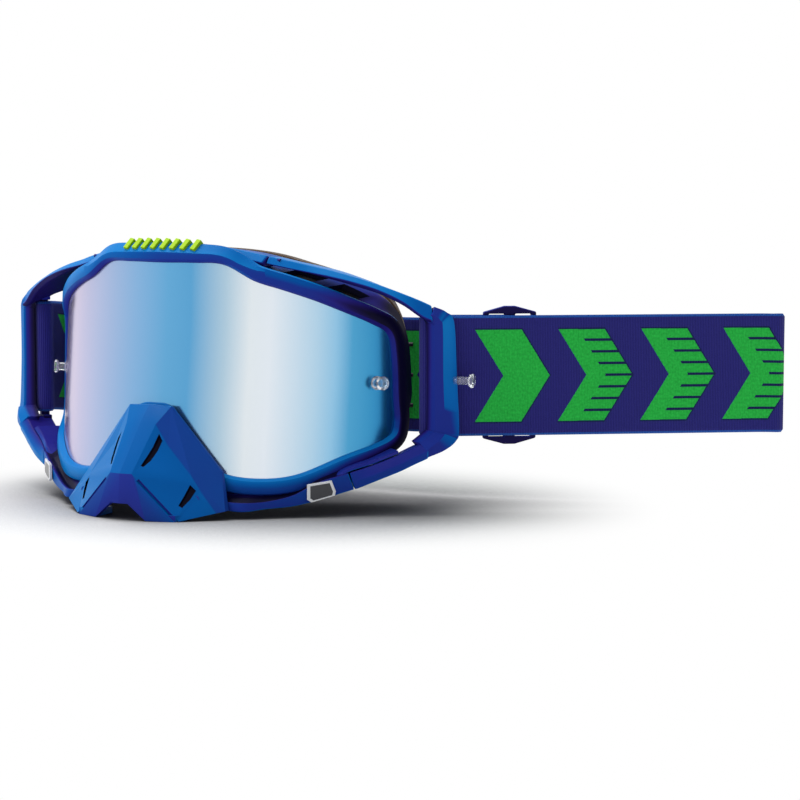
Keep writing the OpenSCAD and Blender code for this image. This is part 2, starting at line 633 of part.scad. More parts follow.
// Ribbon on edge along a path, each point of it let down by its own share of the drop
module ribbon(path, t, low, w, shares) {
    a = path_side(path, t / 2);
    b = path_side(path, -t / 2);
    loft([for (i = [0:len(path) - 1])
        let (z = low - strap_drop * shares[i])
        [concat(a[i], [z]), concat(b[i], [z]), concat(b[i], [z + w]), concat(a[i], [z + w])]]);
}
function share_of(path, share) = [for (p = path) share];
fold_shares = [for (i = [0:len(fold) - 1]) 0.15 * i / (len(fold) - 1)];
rear_shares = [0.45, 0.7, 0.85, 1, 1, 1, 0.9, 0.7, 0.4, 0.15, 0.05];
band_shares = concat(share_of(right_loop, 0), fold_shares, rear_shares, share_of(left_slot, 0), share_of(left_loop, 0));
module strap_band() {
    color(indigo) ribbon(band_path, strap_t, strap_low, strap_w, band_shares);
}

// Inner layers, from the strap bars back to the sliders
return_t = bar_mid_t + loop_r;
slider_gap = 0.3;
slider_back_y = strap_t + slider_t + 2 * slider_gap;
slider_back_t = band_t + slider_back_y;
return_right_path = [plan(loop_end_s + 0.3, return_t), plan(0, return_t), plan(slider_right_at - 8, slider_back_t + 0.2),
    plan(slider_right_at - 5, slider_back_t), plan(slider_right_at + 2, slider_back_t)];
return_left_path = [flip(plan(loop_end_s + 0.9, return_t + 0.1)), [-92.2, temple_back - 20], [-92.4, temple_back - 14.6],
    [-90.2, temple_back - 7.6], [-85, temple_back - 1.4], [-78, rear_y(-78) - slider_back_y - 0.2],
    [-68, rear_y(-68) - slider_back_y - 0.2], [slider_left_x - 2, rear_y(slider_left_x - 2) - slider_back_y - 0.1]];
return_left_shares = [0, 0.1, 0.3, 0.6, 0.8, 0.9, 1, 1];
module strap_return_right() {
    color(indigo) ribbon(return_right_path, strap_t, strap_low, strap_w, share_of(return_right_path, 0));
}
module strap_return_left() {
    color(indigo) ribbon(return_left_path, strap_t, strap_low, strap_w, return_left_shares);
}

// Slider: three bars between two six-sided lugs that stand past the strap's edges
lug = 3.4;
module slider_plate() {
    h = strap_w / 2;
    rotate([90, 0, 0])
        translate([0, 0, -slider_t / 2])
            linear_extrude(slider_t)
                difference() {
                    polygon([[-slider_l / 2, h + 1.2], [-2, h + lug], [2, h + lug],
                        [slider_l / 2, h + 1.2], [slider_l / 2, -h - 1.2], [2, -h - lug], [-2, -h - lug], [-slider_l / 2, -h - 1.2]]);
                    for (side = [-1, 1])
                        translate([side * slider_l / 4, 0]) square([slider_l / 2 - 4, strap_w + 1], center = true);
                }
}
module slider_right() {
    color(indigo)
        translate(plan3(slider_right_at, band_t + strap_t / 2 + slider_gap + slider_t / 2, strap_mid_z))
            rotate([0, 0, strap_angle]) slider_plate();
}
module slider_left() {
    color(indigo)
        translate([slider_left_x, rear_y(slider_left_x) - strap_t / 2 - slider_gap - slider_t / 2, strap_mid_z - strap_drop])
            rotate([0, 0, atan(rear_slope)]) slider_plate();
}

// Silicone beads on the band's inner face, along the rear stretch
bead_rows = 3;
bead_h = 0.6;
bead_line = [[-6, rear_y(-6)], rear_line[4], rear_line[3]];
module strap_grip() {
    color([0.1, 0.1, 0.1])
        for (row = [0:bead_rows - 1])
            translate([0, 0, strap_mid_z - strap_drop + (row - 1) * 12 - 0.8])
                linear_extrude(1.6)
                    translate([0, -strap_t / 2 - 0.02])
                        polygon([for (p = bead_line) p - [0, bead_h], for (p = reversed(bead_line)) p]);
}

frame_shell();
lens();
lens_posts();
post_nuts();
brow_grip();
badges();
nose_guard();
outrigger_right();
outrigger_left();
outrigger_pins();
outrigger_posts();
face_foam_base();
face_foam_core();
face_fleece();
top_vent_foam();
bottom_vent_foam();
strap_band();
strap_return_right();
strap_return_left();
slider_right();
slider_left();
strap_grip();
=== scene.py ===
import math
import bpy
import bmesh
import numpy as np
from mathutils import Matrix, Vector


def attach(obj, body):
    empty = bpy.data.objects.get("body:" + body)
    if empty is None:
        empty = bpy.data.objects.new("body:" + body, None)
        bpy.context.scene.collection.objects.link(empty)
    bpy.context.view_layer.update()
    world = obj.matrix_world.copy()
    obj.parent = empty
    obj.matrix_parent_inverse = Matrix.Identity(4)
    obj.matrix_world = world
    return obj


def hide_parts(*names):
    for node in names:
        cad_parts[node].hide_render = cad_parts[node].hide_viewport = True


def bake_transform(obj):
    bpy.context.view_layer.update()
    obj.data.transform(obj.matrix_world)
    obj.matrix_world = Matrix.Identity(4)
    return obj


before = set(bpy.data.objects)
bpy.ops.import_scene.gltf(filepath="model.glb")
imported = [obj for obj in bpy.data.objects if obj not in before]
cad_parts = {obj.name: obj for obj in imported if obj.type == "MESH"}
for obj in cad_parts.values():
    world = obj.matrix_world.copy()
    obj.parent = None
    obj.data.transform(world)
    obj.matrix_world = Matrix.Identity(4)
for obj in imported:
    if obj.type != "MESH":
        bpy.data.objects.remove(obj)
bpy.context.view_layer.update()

mm = 0.001

# The goggles' own sizes in millimetres, as in the part's source
form = {"lensR": 83.6, "lensT": 1.2, "lean": 4.7, "bite": 2.1, "rimW": 6.2, "rimH": 2.6, "rimNoseH": 0.9, "gap": 0.15,
        "wall": 2.2, "browExtra": 1.3, "faceDepth": 30.0, "faceCurve": 0.005, "flangeW": 8.0, "flangeT": 2.0,
        "base": 5.0, "core": 5.0, "fleece": 2.5, "foamLean": 5.0, "filter": 2.0, "armH": 3.4, "armD": 8.8,
        "barT": 3.4, "barW": 5.5, "frontBarT": 4.0, "barEdge": (102.4, 46.6), "slotGap": 0.4, "strapAngle": 35.7,
        "strapW": 45.0, "strapT": 1.6, "strapMid": -9.9, "strapDrop": 4.0, "nearHalf": 122.0, "floor": -61.0}
slant = math.radians(form["strapAngle"])
sides = (("Right", 1), ("Left", -1))


def addObject(name, data):
    made = bpy.data.objects.new(name, data)
    bpy.context.scene.collection.objects.link(made)
    return made


def lookAlong(thing, way):
    thing.rotation_euler = Vector(way).to_track_quat("-Z", "Y").to_euler()


# Camera first: the photograph's place, from a pinhole fit
cameraLook = {"azimuth": 29.1, "elevation": 5.9, "place": (508.66, -727.69, 72.05), "lens": 106.8}


def addCamera(look):
    data = bpy.data.cameras.new("viewCamera")
    data.lens = look["lens"]
    data.sensor_width = 36.0
    data.clip_end = 20.0
    camera = addObject("viewCamera", data)
    turn, tilt = math.radians(look["azimuth"]), math.radians(look["elevation"])
    lookAlong(camera, (-math.sin(turn) * math.cos(tilt), math.cos(turn) * math.cos(tilt), -math.sin(tilt)))
    camera.location = [v * mm for v in look["place"]]
    bpy.context.scene.camera = camera


addCamera(cameraLook)
print("camera placed")


# Node helpers. A Signal is a node's output, and each operation on it adds one math node.

def operation(kind):
    return lambda self, other=0.0: self.nodes.math(kind, self, other)


class Signal:
    __add__, __sub__, __mul__ = operation("ADD"), operation("SUBTRACT"), operation("MULTIPLY")
    __truediv__, __mod__ = operation("DIVIDE"), operation("FLOORED_MODULO")
    __gt__, __lt__ = operation("GREATER_THAN"), operation("LESS_THAN")
    __abs__, sign, floor = operation("ABSOLUTE"), operation("SIGN"), operation("FLOOR")
    sine, arcsine = operation("SINE"), operation("ARCSINE")
    power, larger = operation("POWER"), operation("MAXIMUM")

    def __init__(self, nodes, socket):
        self.nodes, self.socket = nodes, socket

    def __rsub__(self, other):
        return self.nodes.math("SUBTRACT", other, self)

    def above(self, low=0.0):
        return (self - low).larger(0.0)

    def between(self, low, high):
        # Smooth step from 0 at low to 1 at high
        return self.nodes.signal("MapRange", {"Value": self, "From Min": low, "From Max": high},
                                 interpolation_type="SMOOTHSTEP")


class Nodes:
    def __init__(self, tree):
        self.tree = tree

    def feed(self, socket, value):
        if isinstance(value, Signal):
            self.tree.links.new(value.socket, socket)
        else:
            socket.default_value = value

    def node(self, kind, inputs={}, **settings):
        made = self.tree.nodes.new("ShaderNode" + kind)
        for key, value in settings.items():
            setattr(made, key, value)
        for key, value in inputs.items():
            self.feed(made.inputs[key], value)
        return made

    def signal(self, kind, inputs={}, output=0, **settings):
        return Signal(self, self.node(kind, inputs, **settings).outputs[output])

    def math(self, kind, a, b=0.0):
        return self.signal("Math", {0: a, 1: b}, operation=kind)

    def mix(self, factor, a, b):
        return self.signal("Mix", {0: factor, 6: a, 7: b}, 2, data_type="RGBA")

    def tint(self, factor, dark, light):
        return self.mix(factor, srgb(*dark), srgb(*light))

    def point(self):
        return self.signal("TexCoord", output="Object")

    def noise(self, scale, detail, vector, rough=0.5):
        return self.signal("TexNoise", {"Scale": scale, "Detail": detail, "Roughness": rough, "Vector": vector}, "Fac")

    def bump(self, height, distance, strength):
        return self.signal("Bump", {"Strength": strength, "Distance": distance, "Height": height})

    def parts(self, vector):
        return [Signal(self, socket) for socket in self.node("SeparateXYZ", {0: vector}).outputs]

    def ramp(self, factor, stops):
        made = self.node("ValToRGB", {0: factor})
        band = made.color_ramp
        while len(band.elements) > 1:
            band.elements.remove(band.elements[-1])
        band.elements[0].position = stops[0][0]
        band.elements[0].color = srgb(*stops[0][1])
        for place, colour in stops[1:]:
            band.elements.new(place).color = srgb(*colour)
        return Signal(self, made.outputs[0])


class Shader(Nodes):
    sockets = {"colour": "Base Color", "rough": "Roughness", "metal": "Metallic", "normal": "Normal", "ior": "IOR",
               "coat": "Coat Weight", "coatRough": "Coat Roughness", "sheen": "Sheen Weight",
               "sheenRough": "Sheen Roughness", "through": "Transmission Weight", "specular": "Specular IOR Level"}

    def __init__(self, name):
        self.material = bpy.data.materials.new(name)
        self.material.use_nodes = True
        super().__init__(self.material.node_tree)
        self.surface = self.tree.nodes["Principled BSDF"]

    def finish(self, **values):
        for key, value in values.items():
            self.feed(self.surface.inputs[self.sockets[key]], value)
        return self.material


def srgb(r, g, b):
    parts = [v / 255 for v in (r, g, b)]
    return tuple(v / 12.92 if v <= 0.04045 else ((v + 0.055) / 1.055) ** 2.4 for v in parts) + (1.0,)


# Moulded plastic, azure to indigo. A tone from 0 to 1 picks the colour, low for painted shade
# and high for painted light. The tone is painted light and shade: it goes by which way a face
# looks (up, down, to the goggles' right, to their left, straight ahead, out from the middle), by
# place for the foot, the flank, the guard's border and the parts behind a bar's face, and by a mesh's own "shade".
mouldedLook = {"base": 0.25, "up": 0.8, "under": -0.35, "right": 0.75, "left": -0.4, "ahead": 0.0, "out": 0.0,
               "foot": 0.0, "flank": 0.0, "deep": 0.0, "border": 0.0, "turned": 0.72, "rough": 0.38,
               "grain": 2600, "grainRough": 0.12, "mottle": 60, "mottleTone": 0.05}


def mouldedPlastic(name, stops, **changes):
    look = {**mouldedLook, **changes}
    shader = Shader(name)
    nx, ny, nz = shader.parts(shader.signal("TexCoord", output="Normal"))
    point = shader.point()
    x, y, z = shader.parts(point)
    down = (nz * -1.0).above()
    outward = nx * x.sign() + down * 0.5
    # Distance behind the plane of the strap bar's face, the same on both sides
    edgeX, edgeY = (v * mm for v in form["barEdge"])
    depth = (edgeX - abs(x)) * math.sin(slant) + (y - edgeY) * math.cos(slant)
    # Masks for painted light and shade: faces lit or shaded by which way they look, lighter low down at the foot,
    # painted shadow on the right flank, painted shade behind a bar's face and along the guard's border
    facing = {
        "up": nz.above(), "under": down, "right": (nx * -1.0).above(), "left": nx.above(),
        "ahead": ny.between(-0.86, -0.94), "out": outward.above(look["turned"]), "foot": z.between(-0.025, -0.045),
        "flank": x.between(0.045, 0.075) * nx.above(0.62), "deep": depth.between(0.001, 0.004),
        "border": y.between(-0.0113, -0.0108) * nx.between(0.2, 0.4)}
    tone = look["base"] - look["mottleTone"] / 2
    for key, amount in facing.items():
        if look[key]:
            tone = amount * look[key] + tone
    # A mesh's own "shade" adds its painted highlights and painted shade; only the mottle is the plastic's own random
    # tone
    shade = shader.signal("Attribute", output="Fac", attribute_name="shade")
    tone = shader.noise(look["mottle"], 3, point) * look["mottleTone"] + (tone + shade)
    grain = shader.noise(look["grain"], 2, point)
    rough = grain * look["grainRough"] + (look["rough"] - look["grainRough"] / 2)
    return shader.finish(colour=shader.ramp(tone, stops), rough=rough, specular=0.06,
                         normal=shader.bump(grain, 0.00004, 0.35))


# Colour ramps run from painted shade, dark indigo, to painted light, azure
frameStops = [(0.0, (12, 8, 44)), (0.1, (26, 16, 80)), (0.24, (40, 34, 130)), (0.42, (26, 54, 152)),
              (0.56, (2, 82, 170)), (0.76, (0, 106, 190)), (1.0, (12, 126, 206))]
guardStops = [(0.0, (20, 12, 60)), (0.2, (42, 34, 132)), (0.4, (36, 54, 152)), (0.58, (6, 82, 166)),
              (0.78, (0, 104, 184)), (1.0, (20, 126, 200))]
navyStops = [(0.0, (22, 14, 70)), (0.5, (38, 34, 118)), (1.0, (44, 58, 150))]
greenStops = [(0.0, (96, 140, 16)), (0.5, (150, 200, 30)), (1.0, (184, 224, 52))]
pocketShadeStops = [(0.0, (10, 6, 20)), (0.6, (22, 14, 40)), (1.0, (32, 22, 62))]
# These plastics are copies of one, each with its own painted light and shade for the frame, arms, bars, lower bars,
# guard, navy parts and green ribs
framePlastic = mouldedPlastic("framePlastic", frameStops, base=0.32, under=-0.12, left=-0.12, foot=0.26, flank=-1.3)
armPlastic = mouldedPlastic("armPlastic", frameStops, base=0.3, up=0.85, under=-0.2, right=0.0, left=0.0, out=1.6)
barPlastic = mouldedPlastic("barPlastic", frameStops, base=0.36, up=0.05, under=-0.1, right=0.0, left=0.0,
                            out=3.6, deep=-0.3)
lowPlastic = mouldedPlastic("lowPlastic", frameStops, base=0.42, up=-0.16, under=0.1, right=0.3, left=0.0, out=1.2)
guardPlastic = mouldedPlastic("guardPlastic", guardStops, base=0.64, up=0.12, right=0.36, left=0.0,
                              ahead=-0.28, border=-0.2)
navyPlastic = mouldedPlastic("navyPlastic", navyStops)
greenPlastic = mouldedPlastic("greenPlastic", greenStops, base=0.4, right=0.2, left=-0.1, rough=0.45)
pocketShadePlastic = mouldedPlastic("pocketShadePlastic", pocketShadeStops)


# Mirror coating: colour by place along the lens's width, partly the coating's own tint and partly a painted reflection
# of the studio, with a painted white highlight band
mirrorLook = {"metal": 0.82, "rough": 0.18, "span": 2.28, "middle": 0.49, "wave": 0.02, "stops": [
    (0.0, (212, 192, 224)), (0.22, (206, 196, 225)), (0.32, (182, 193, 227)), (0.44, (137, 181, 223)),
    (0.52, (100, 170, 216)), (0.57, (92, 166, 214)), (0.64, (178, 207, 226)), (0.69, (231, 239, 244)),
    (0.73, (232, 240, 248)), (0.82, (184, 217, 239)), (0.86, (148, 201, 234)), (0.895, (80, 166, 212)),
    (0.94, (58, 152, 203)), (1.0, (14, 124, 188))]}


def mirrorCoatingAndReflection(look):
    shader = Shader("mirrorCoatingAndReflection")
    point = shader.point()
    angle = (shader.parts(point)[0] / (form["lensR"] * mm)).arcsine()
    place = shader.noise(14, 1, point) * look["wave"] + (angle * (1 / look["span"]) + look["middle"])
    return shader.finish(colour=shader.ramp(place, look["stops"]), metal=look["metal"],
                         rough=shader.noise(5200, 1, point) * 0.03 + look["rough"])


def clearPlastic():
    shader = Shader("clearPlastic")
    flow = shader.noise(700, 2, shader.point())
    return shader.finish(colour=(0.93, 0.96, 1.0, 1.0), through=0.92, ior=1.49, rough=0.06,
                         normal=shader.bump(flow, 0.00005, 0.4))


def foam(name, dark, light, pore, rough=0.95, sheen=0.3):
    shader = Shader(name)
    point = shader.point()
    cells = shader.signal("TexVoronoi", {"Scale": pore, "Vector": point}, "Distance", feature="SMOOTH_F1")
    patch = shader.noise(pore * 0.12, 3, point)
    return shader.finish(colour=shader.tint(patch * 0.5 + cells * 0.7, dark, light), rough=rough,
                         sheen=sheen, sheenRough=0.5, specular=0.15, normal=shader.bump(cells + patch, 0.0004, 0.7))


def fleece():
    shader = Shader("fleece")
    point = shader.point()
    fibre, tuft = shader.noise(2600, 4, point, 0.7), shader.noise(420, 3, point)
    return shader.finish(colour=shader.tint(fibre * tuft, (12, 12, 14), (58, 58, 64)), rough=0.98, sheen=0.7,
                         sheenRough=0.4, specular=0.1, normal=shader.bump(fibre + tuft * 2.0, 0.0005, 0.6))


def silicone():
    shader = Shader("silicone")
    grain = shader.noise(900, 2, shader.point())
    return shader.finish(colour=shader.tint(grain, (18, 18, 22), (34, 34, 40)), rough=0.35, specular=0.5,
                         normal=shader.bump(grain, 0.00005, 0.4))


mirror = mirrorCoatingAndReflection(mirrorLook)
clear = clearPlastic()
openFoam = foam("openFoam", (28, 19, 14), (76, 58, 42), 1700)
coreFoam = foam("coreFoam", (50, 35, 24), (108, 82, 58), 2300)
filterFoam = foam("filterFoam", (5, 5, 7), (20, 20, 24), 1200, sheen=0.05)
fleeceCloth = fleece()
rubber = silicone()


# Woven strap: ribs across, a bright edge band, and chevrons woven in green. The UV map is in
# millimetres: U along the strap from the right slot, V up from its lower edge.
strapLook = {"rib": 0.62, "cross": 0.42, "middle": 22.5, "band": 0.9, "outline": 0.55, "reach": 17.2,
             "chevronStart": 30.0, "chevronStep": 31.44, "chevronWide": 17.5, "chevronLean": 0.62,
             "chevronEnd": 446.0, "lineStep": 4.4, "lineWide": 1.0, "lineFrom": 0.42, "linesEnd": 150.0}


def wovenCloth(name, look, patterned):
    shader = Shader(name)
    uv = shader.signal("UVMap")
    s, v = shader.parts(uv)[:2]
    ribs, picks = ((way * (2 * math.pi / look[key])).sine() for way, key in ((s, "rib"), (v, "cross")))
    height = weave = picks * 0.35 + ribs * 0.65
    lit = weave * 0.28 + (shader.noise(2.2, 3, uv) * 0.5 + 0.2)
    edge = abs(v - look["middle"])
    cloth = shader.tint(lit, (26, 22, 92), (58, 58, 158))
    cloth = shader.mix((edge > look["middle"] - look["band"]) * 0.8, cloth, srgb(8, 86, 178))
    if patterned:
        # A chevron's start falls behind from its tip towards the strap's edges
        frayed = shader.noise(1.6, 2, uv) * 0.5 + s
        across = frayed - look["chevronStart"] - (look["reach"] - edge) * look["chevronLean"]
        within = across % look["chevronStep"]
        row = (across / look["chevronStep"]).floor()

        def inside(grow):
            shape = (within < look["chevronWide"] + grow) * (edge < look["reach"] + grow)
            return shape * ((across > -grow) * (s < look["chevronEnd"]))

        lines = (v % look["lineStep"] < look["lineWide"]) * ((row > 0.5) * (s < look["linesEnd"]))
        gaps = lines * (within > look["chevronWide"] * look["lineFrom"])
        solid = inside(0.0) * (1.0 - gaps)
        tuft = shader.noise(1.1, 3, uv)
        green = shader.tint(tuft * 0.9 + weave * 0.1, (16, 158, 52), (60, 236, 96))
        cloth = shader.mix(inside(look["outline"]) * 0.75, cloth, srgb(4, 34, 62))
        cloth = shader.mix(solid, cloth, green)
        height = weave + solid * (tuft * 1.2 + 0.9)
    return shader.finish(colour=cloth, rough=0.85, sheen=0.1, sheenRough=0.45, specular=0.12,
                         normal=shader.bump(height, 0.00022, 0.75))


strapCloth = wovenCloth("strapCloth", strapLook, True)
returnCloth = wovenCloth("returnCloth", strapLook, False)


# Bare badge plate: dark face inside a pale border, which is where the UV map's U is over 0.8
def badgePlate():
    shader = Shader("badgePlate")
    uv = shader.signal("UVMap")
    scuff = shader.noise(40, 3, uv)
    face = shader.tint(scuff, (10, 12, 22), (26, 30, 44))
    return shader.finish(colour=shader.mix(shader.parts(uv)[0] > 0.8, face, srgb(236, 238, 242)), rough=0.3,
                         coat=0.4, coatRough=0.15, normal=shader.bump(scuff, 0.00003, 0.3))


plateFinish = badgePlate()
print("materials made")


# Mesh helpers. All shapes are worked out in millimetres and scaled once, here.

def gridFaces(rows, columns, wrap=True, skip=None):
    # Quads of a grid whose columns close on themselves. With wrap its rows do too.
    k, i = np.meshgrid(np.arange(rows if wrap else rows - 1), np.arange(columns), indexing="ij")
    l, j = (k + 1) % rows, (i + 1) % columns
    faces = np.stack([k * columns + i, l * columns + i, l * columns + j, k * columns + j], axis=-1)
    if skip is not None:
        faces = faces[~skip]
    return faces.reshape(-1, 4).tolist()


def cappedFaces(rows, columns):
    # A tube's quads and its two end faces
    last = (rows - 1) * columns
    return gridFaces(rows, columns, wrap=False) + [list(range(columns)), list(range(last, last + columns))]


def cleanMesh(mesh, merge=1e-7, flat=0.0, smooth=True):
    # Merges doubles, joins level faces where it is asked to, and turns all faces outwards
    work = bmesh.new()
    work.from_mesh(mesh)
    bmesh.ops.remove_doubles(work, verts=work.verts, dist=merge)
    if flat:
        bmesh.ops.dissolve_limit(work, angle_limit=math.radians(flat), verts=work.verts, edges=work.edges)
    bmesh.ops.recalc_face_normals(work, faces=work.faces)
    work.to_mesh(mesh)
    work.free()
    mesh.polygons.foreach_set("use_smooth", [smooth] * len(mesh.polygons))


def addPiece(name, mesh, material, node, body="goggles"):
    mesh.materials.clear()
    mesh.materials.append(material)
    piece = addObject(name, mesh)
    if body:
        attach(piece, body)
    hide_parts(node)
    return piece


def newPiece(name, rows, material, node, body="goggles", faces=None, uv=None, smooth=True, shade=None):
    # Rows of points, which are a tube closed at both ends unless their faces are given
    rows = np.asarray(rows, float) * mm
    mesh = bpy.data.meshes.new(name)
    mesh.from_pydata(rows.reshape(-1, 3).tolist(), [], faces or cappedFaces(*rows.shape[:2]))
    if uv is not None:
        corner = np.empty(len(mesh.loops), np.int32)
        mesh.loops.foreach_get("vertex_index", corner)
        mesh.uv_layers.new(name="UVMap").data.foreach_set("uv", np.asarray(uv, np.float32)[corner].ravel())
    if shade is not None:
        mesh.attributes.new("shade", "FLOAT", "POINT").data.foreach_set("value", np.asarray(shade, np.float32))
    mesh.validate()
    cleanMesh(mesh, smooth=smooth)
    return addPiece(name, mesh, material, node, body)


def bevel(piece, width, segments=3, angle=24.0):
    edge = piece.modifiers.new("edges", "BEVEL")
    edge.width, edge.segments = width * mm, segments
    edge.limit_method, edge.angle_limit = "ANGLE", math.radians(angle)
    edge.harden_normals = edge.use_clamp_overlap = True


def spline(a, b, c, d, fine):
    # Catmull-Rom points in fine steps from each b towards its c
    a, b, c, d = (q[:, None] for q in (a, b, c, d))
    f = (np.arange(fine) / fine)[None, :, None]
    curve = b + f * (c - a) / 2 + f**2 * (2 * a - 5 * b + 4 * c - d) / 2 + f**3 * (3 * b - a - 3 * c + d) / 2
    return curve.reshape(-1, curve.shape[2])


def openCurve(points, fine):
    # A smooth curve through every point of an open row
    flat = points.reshape(len(points), -1)
    padded = np.vstack([2 * flat[:1] - flat[1:2], flat, 2 * flat[-1:] - flat[-2:-1]])
    curve = spline(padded[:-3], padded[1:-2], padded[2:-1], padded[3:], fine)
    return np.vstack([curve, flat[-1:]]).reshape((-1,) + points.shape[1:])


def loft(name, sections, material, slot, node, fine=6, edge=0.5, tones=None):
    # Sections of equal corners joined along a smooth curve through each corner, closed at both ends
    rows = openCurve(np.asarray(sections, float), fine)
    # tones adds each corner's painted highlight or painted shade to the plastic's tone
    shade = None if tones is None else np.tile(tones, len(rows))
    bevel(newPiece(name, rows, material, node, shade=shade), edge)


# Half outlines of the lens and of the face, from the middle of the top to the middle of the
# bottom, as in the part's source. A station is a corner of such an outline.
lensHalf = np.array([[0, 32.2], [14, 32.4], [26, 32], [37.5, 26.5], [48, 23.6], [60, 20.2], [72, 16.2], [83, 12.4],
                     [89.5, 9], [91.8, 1], [93.3, -14], [94.3, -24], [91, -30], [73, -37], [55.5, -44.4], [41, -46.3],
                     [28.6, -44.8], [22.5, -40], [15.5, -30.5], [9, -22.6], [5.2, -20.3], [0, -20]], float)
faceHalf = np.array([[0, 37], [15, 36.5], [28, 34.8], [39, 31.6], [49, 28.2], [58, 24.2], [66, 19.4], [71, 14],
                     [73.6, 8], [75.2, 0], [75.9, -12], [75.8, -21], [73, -29], [64, -36], [54, -40], [43, -42],
                     [34, -40.5], [27, -36], [20, -28], [14, -19.5], [8, -14.5], [0, -13]], float)
fine = 8
stations = 2 * (len(lensHalf) - 1)
loopN = stations * fine
station = np.arange(loopN) / fine
fromTop = np.minimum(station, stations - station)


def closedCurve(half):
    # The half and its mirror image, as one smooth closed curve
    points = np.vstack([half, half[-2:0:-1] * [-1, 1]])
    return spline(*(np.roll(points, k, 0) for k in (1, 0, -1, -2)), fine)


def outward(loop):
    # Unit normal that points out of the clockwise loop
    step = np.roll(loop, -1, 0) - np.roll(loop, 1, 0)
    side = np.stack([-step[:, 1], step[:, 0]], axis=1)
    return side / np.linalg.norm(side, axis=1, keepdims=True)


lensLoop, faceLoop = closedCurve(lensHalf), closedCurve(faceHalf)
lensOut, faceOut = outward(lensLoop), outward(faceLoop)


def onLens(u, w, d):
    # Point at arc length u, height w and height d over the cylinder, leaned back about X
    angle, lean = np.asarray(u) / form["lensR"], math.radians(form["lean"])
    x = (form["lensR"] + d) * np.sin(angle)
    y = form["lensR"] - (form["lensR"] + d) * np.cos(angle)
    return np.stack([x, y * math.cos(lean) + w * math.sin(lean), w * math.cos(lean) - y * math.sin(lean)], axis=-1)


def lensRing(by, d):
    # The lens's edge grown by so much along its surface, d over it
    grown = lensLoop + lensOut * np.broadcast_to(by, loopN)[:, None]
    return onLens(grown[:, 0], grown[:, 1], np.broadcast_to(d, loopN))


def faceRing(by, back):
    # The flange's edge grown by so much, on the curved face plane y = depth + curve * x * x
    x, z = (faceLoop + faceOut * np.broadcast_to(by, loopN)[:, None]).T
    return np.stack([x, form["faceDepth"] + form["faceCurve"] * x**2 + back, z], axis=1)


faceTemple = np.clip((np.abs(faceLoop[:, 0]) - 64) / 11, 0, 1)
foamT = form["base"] + form["core"] + form["fleece"]


def foamRing(by, back):
    # Behind the flange the cushion leans in at the temples, the further back the more
    return faceRing(by - form["foamLean"] * back / foamT * faceTemple, back)


def between(a, b, f):
    return a + f * (b - a)


# Frame: a closed profile carried round the lens's edge and back to the face. Vents are given
# by their first and last station, in the half that is mirrored.
frameLook = {"edge": 0.4, "vents": [(1, 2), (3.5, 4.5), (5, 6), (13.5, 14.5), (15, 16)], "browSlope": 2.0,
             "slotShade": -0.5, "rimHighlight": 0.16}
offNose = np.clip((np.abs(station - stations / 2) - 3.5) / 2, 0, 1)
crest = between(form["rimNoseH"], form["rimH"], offNose)
rimOut = form["rimW"] + form["browExtra"] * np.clip(1 - fromTop / 3, 0, None)
temple = np.clip((np.abs(lensLoop[:, 0]) - 74) / 12, 0, 1)
groove = form["lensT"] + form["gap"]
mouth = form["bite"] + 0.5
rimNeck = lensRing(rimOut - 1.8 + 1.5 * temple, -4 + 2 * temple)
flangeFront = faceRing(0, -form["flangeT"])
innerNeck = lensRing(mouth, -groove - 2.8)
innerEnd = faceRing(-form["wall"], -form["flangeT"] - 0.2)


def frameRings():
    # From the lens over the crest, back along the outer wall to the flange, and forward inside.
    # Over the brow the crest falls back in a slope to the rim's outer edge.
    slope = frameLook["browSlope"] * np.clip(1 - (fromTop - 2.4) / 0.8, 0, 1)
    return np.array([
        lensRing(0, form["gap"]), lensRing(0.4, crest * 0.55), lensRing(1.1, crest * 0.88), lensRing(2, crest),
        lensRing(rimOut - 1.6 - slope, crest), lensRing(rimOut - 0.5 - 0.2 * slope, crest - 0.45 - 0.82 * slope),
        lensRing(rimOut, crest - 1.5 - 0.72 * slope), lensRing(rimOut, -1.5 - 0.3 * slope), rimNeck,
        between(rimNeck, flangeFront, 0.22), between(rimNeck, flangeFront, 0.78), flangeFront, faceRing(0, 0),
        faceRing(-form["flangeW"], 0), faceRing(-form["flangeW"], -form["flangeT"]), innerEnd,
        between(innerEnd, innerNeck, 0.22), between(innerEnd, innerNeck, 0.78), innerNeck,
        lensRing(0, -groove - 1.8), lensRing(0, -groove), lensRing(mouth, -groove), lensRing(mouth, form["gap"])])


def makeFrame(look):
    rings = frameRings()
    middle = (station + 0.5 / fine) % stations
    folded = np.minimum(middle, stations - middle)
    vent = np.zeros(loopN, bool)
    for low, high in look["vents"]:
        vent |= (folded > low) & (folded < high)
    # A vent leaves out its columns of the outer wall, rows 9 to 10, and of the inner wall,
    # rows 16 to 17, and joins the two walls by four faces
    skip = np.zeros((len(rings), loopN), bool)
    skip[9] = skip[16] = vent
    faces = gridFaces(len(rings), loopN, skip=skip)
    here = np.flatnonzero(vent)
    after = (here + 1) % loopN
    first, last = here[~vent[here - 1]], after[~vent[after]]
    for rows, columns in (((9, 17, 17, 9), (here, here, after, after)), ((16, 10, 10, 16), (here, here, after, after)),
                          ((9, 10, 16, 17), (first,) * 4), ((17, 16, 10, 9), (last,) * 4)):
        faces += np.stack([row * loopN + column for row, column in zip(rows, columns)], axis=1).tolist()
    # The wall behind the rim gets painted shade over the brow and temples, and the rim's face
    # a painted highlight at the top
    shade = np.zeros((len(rings), loopN))
    shade[7:18] = look["slotShade"] * (fromTop < 8)
    shade[1:5] = look["rimHighlight"] * np.clip((6 - fromTop) / 1.5, 0, 1)
    bevel(newPiece("frameShell", rings, framePlastic, "frame_shell", faces=faces, shade=shade.ravel()),
          look["edge"], 2)


makeFrame(frameLook)


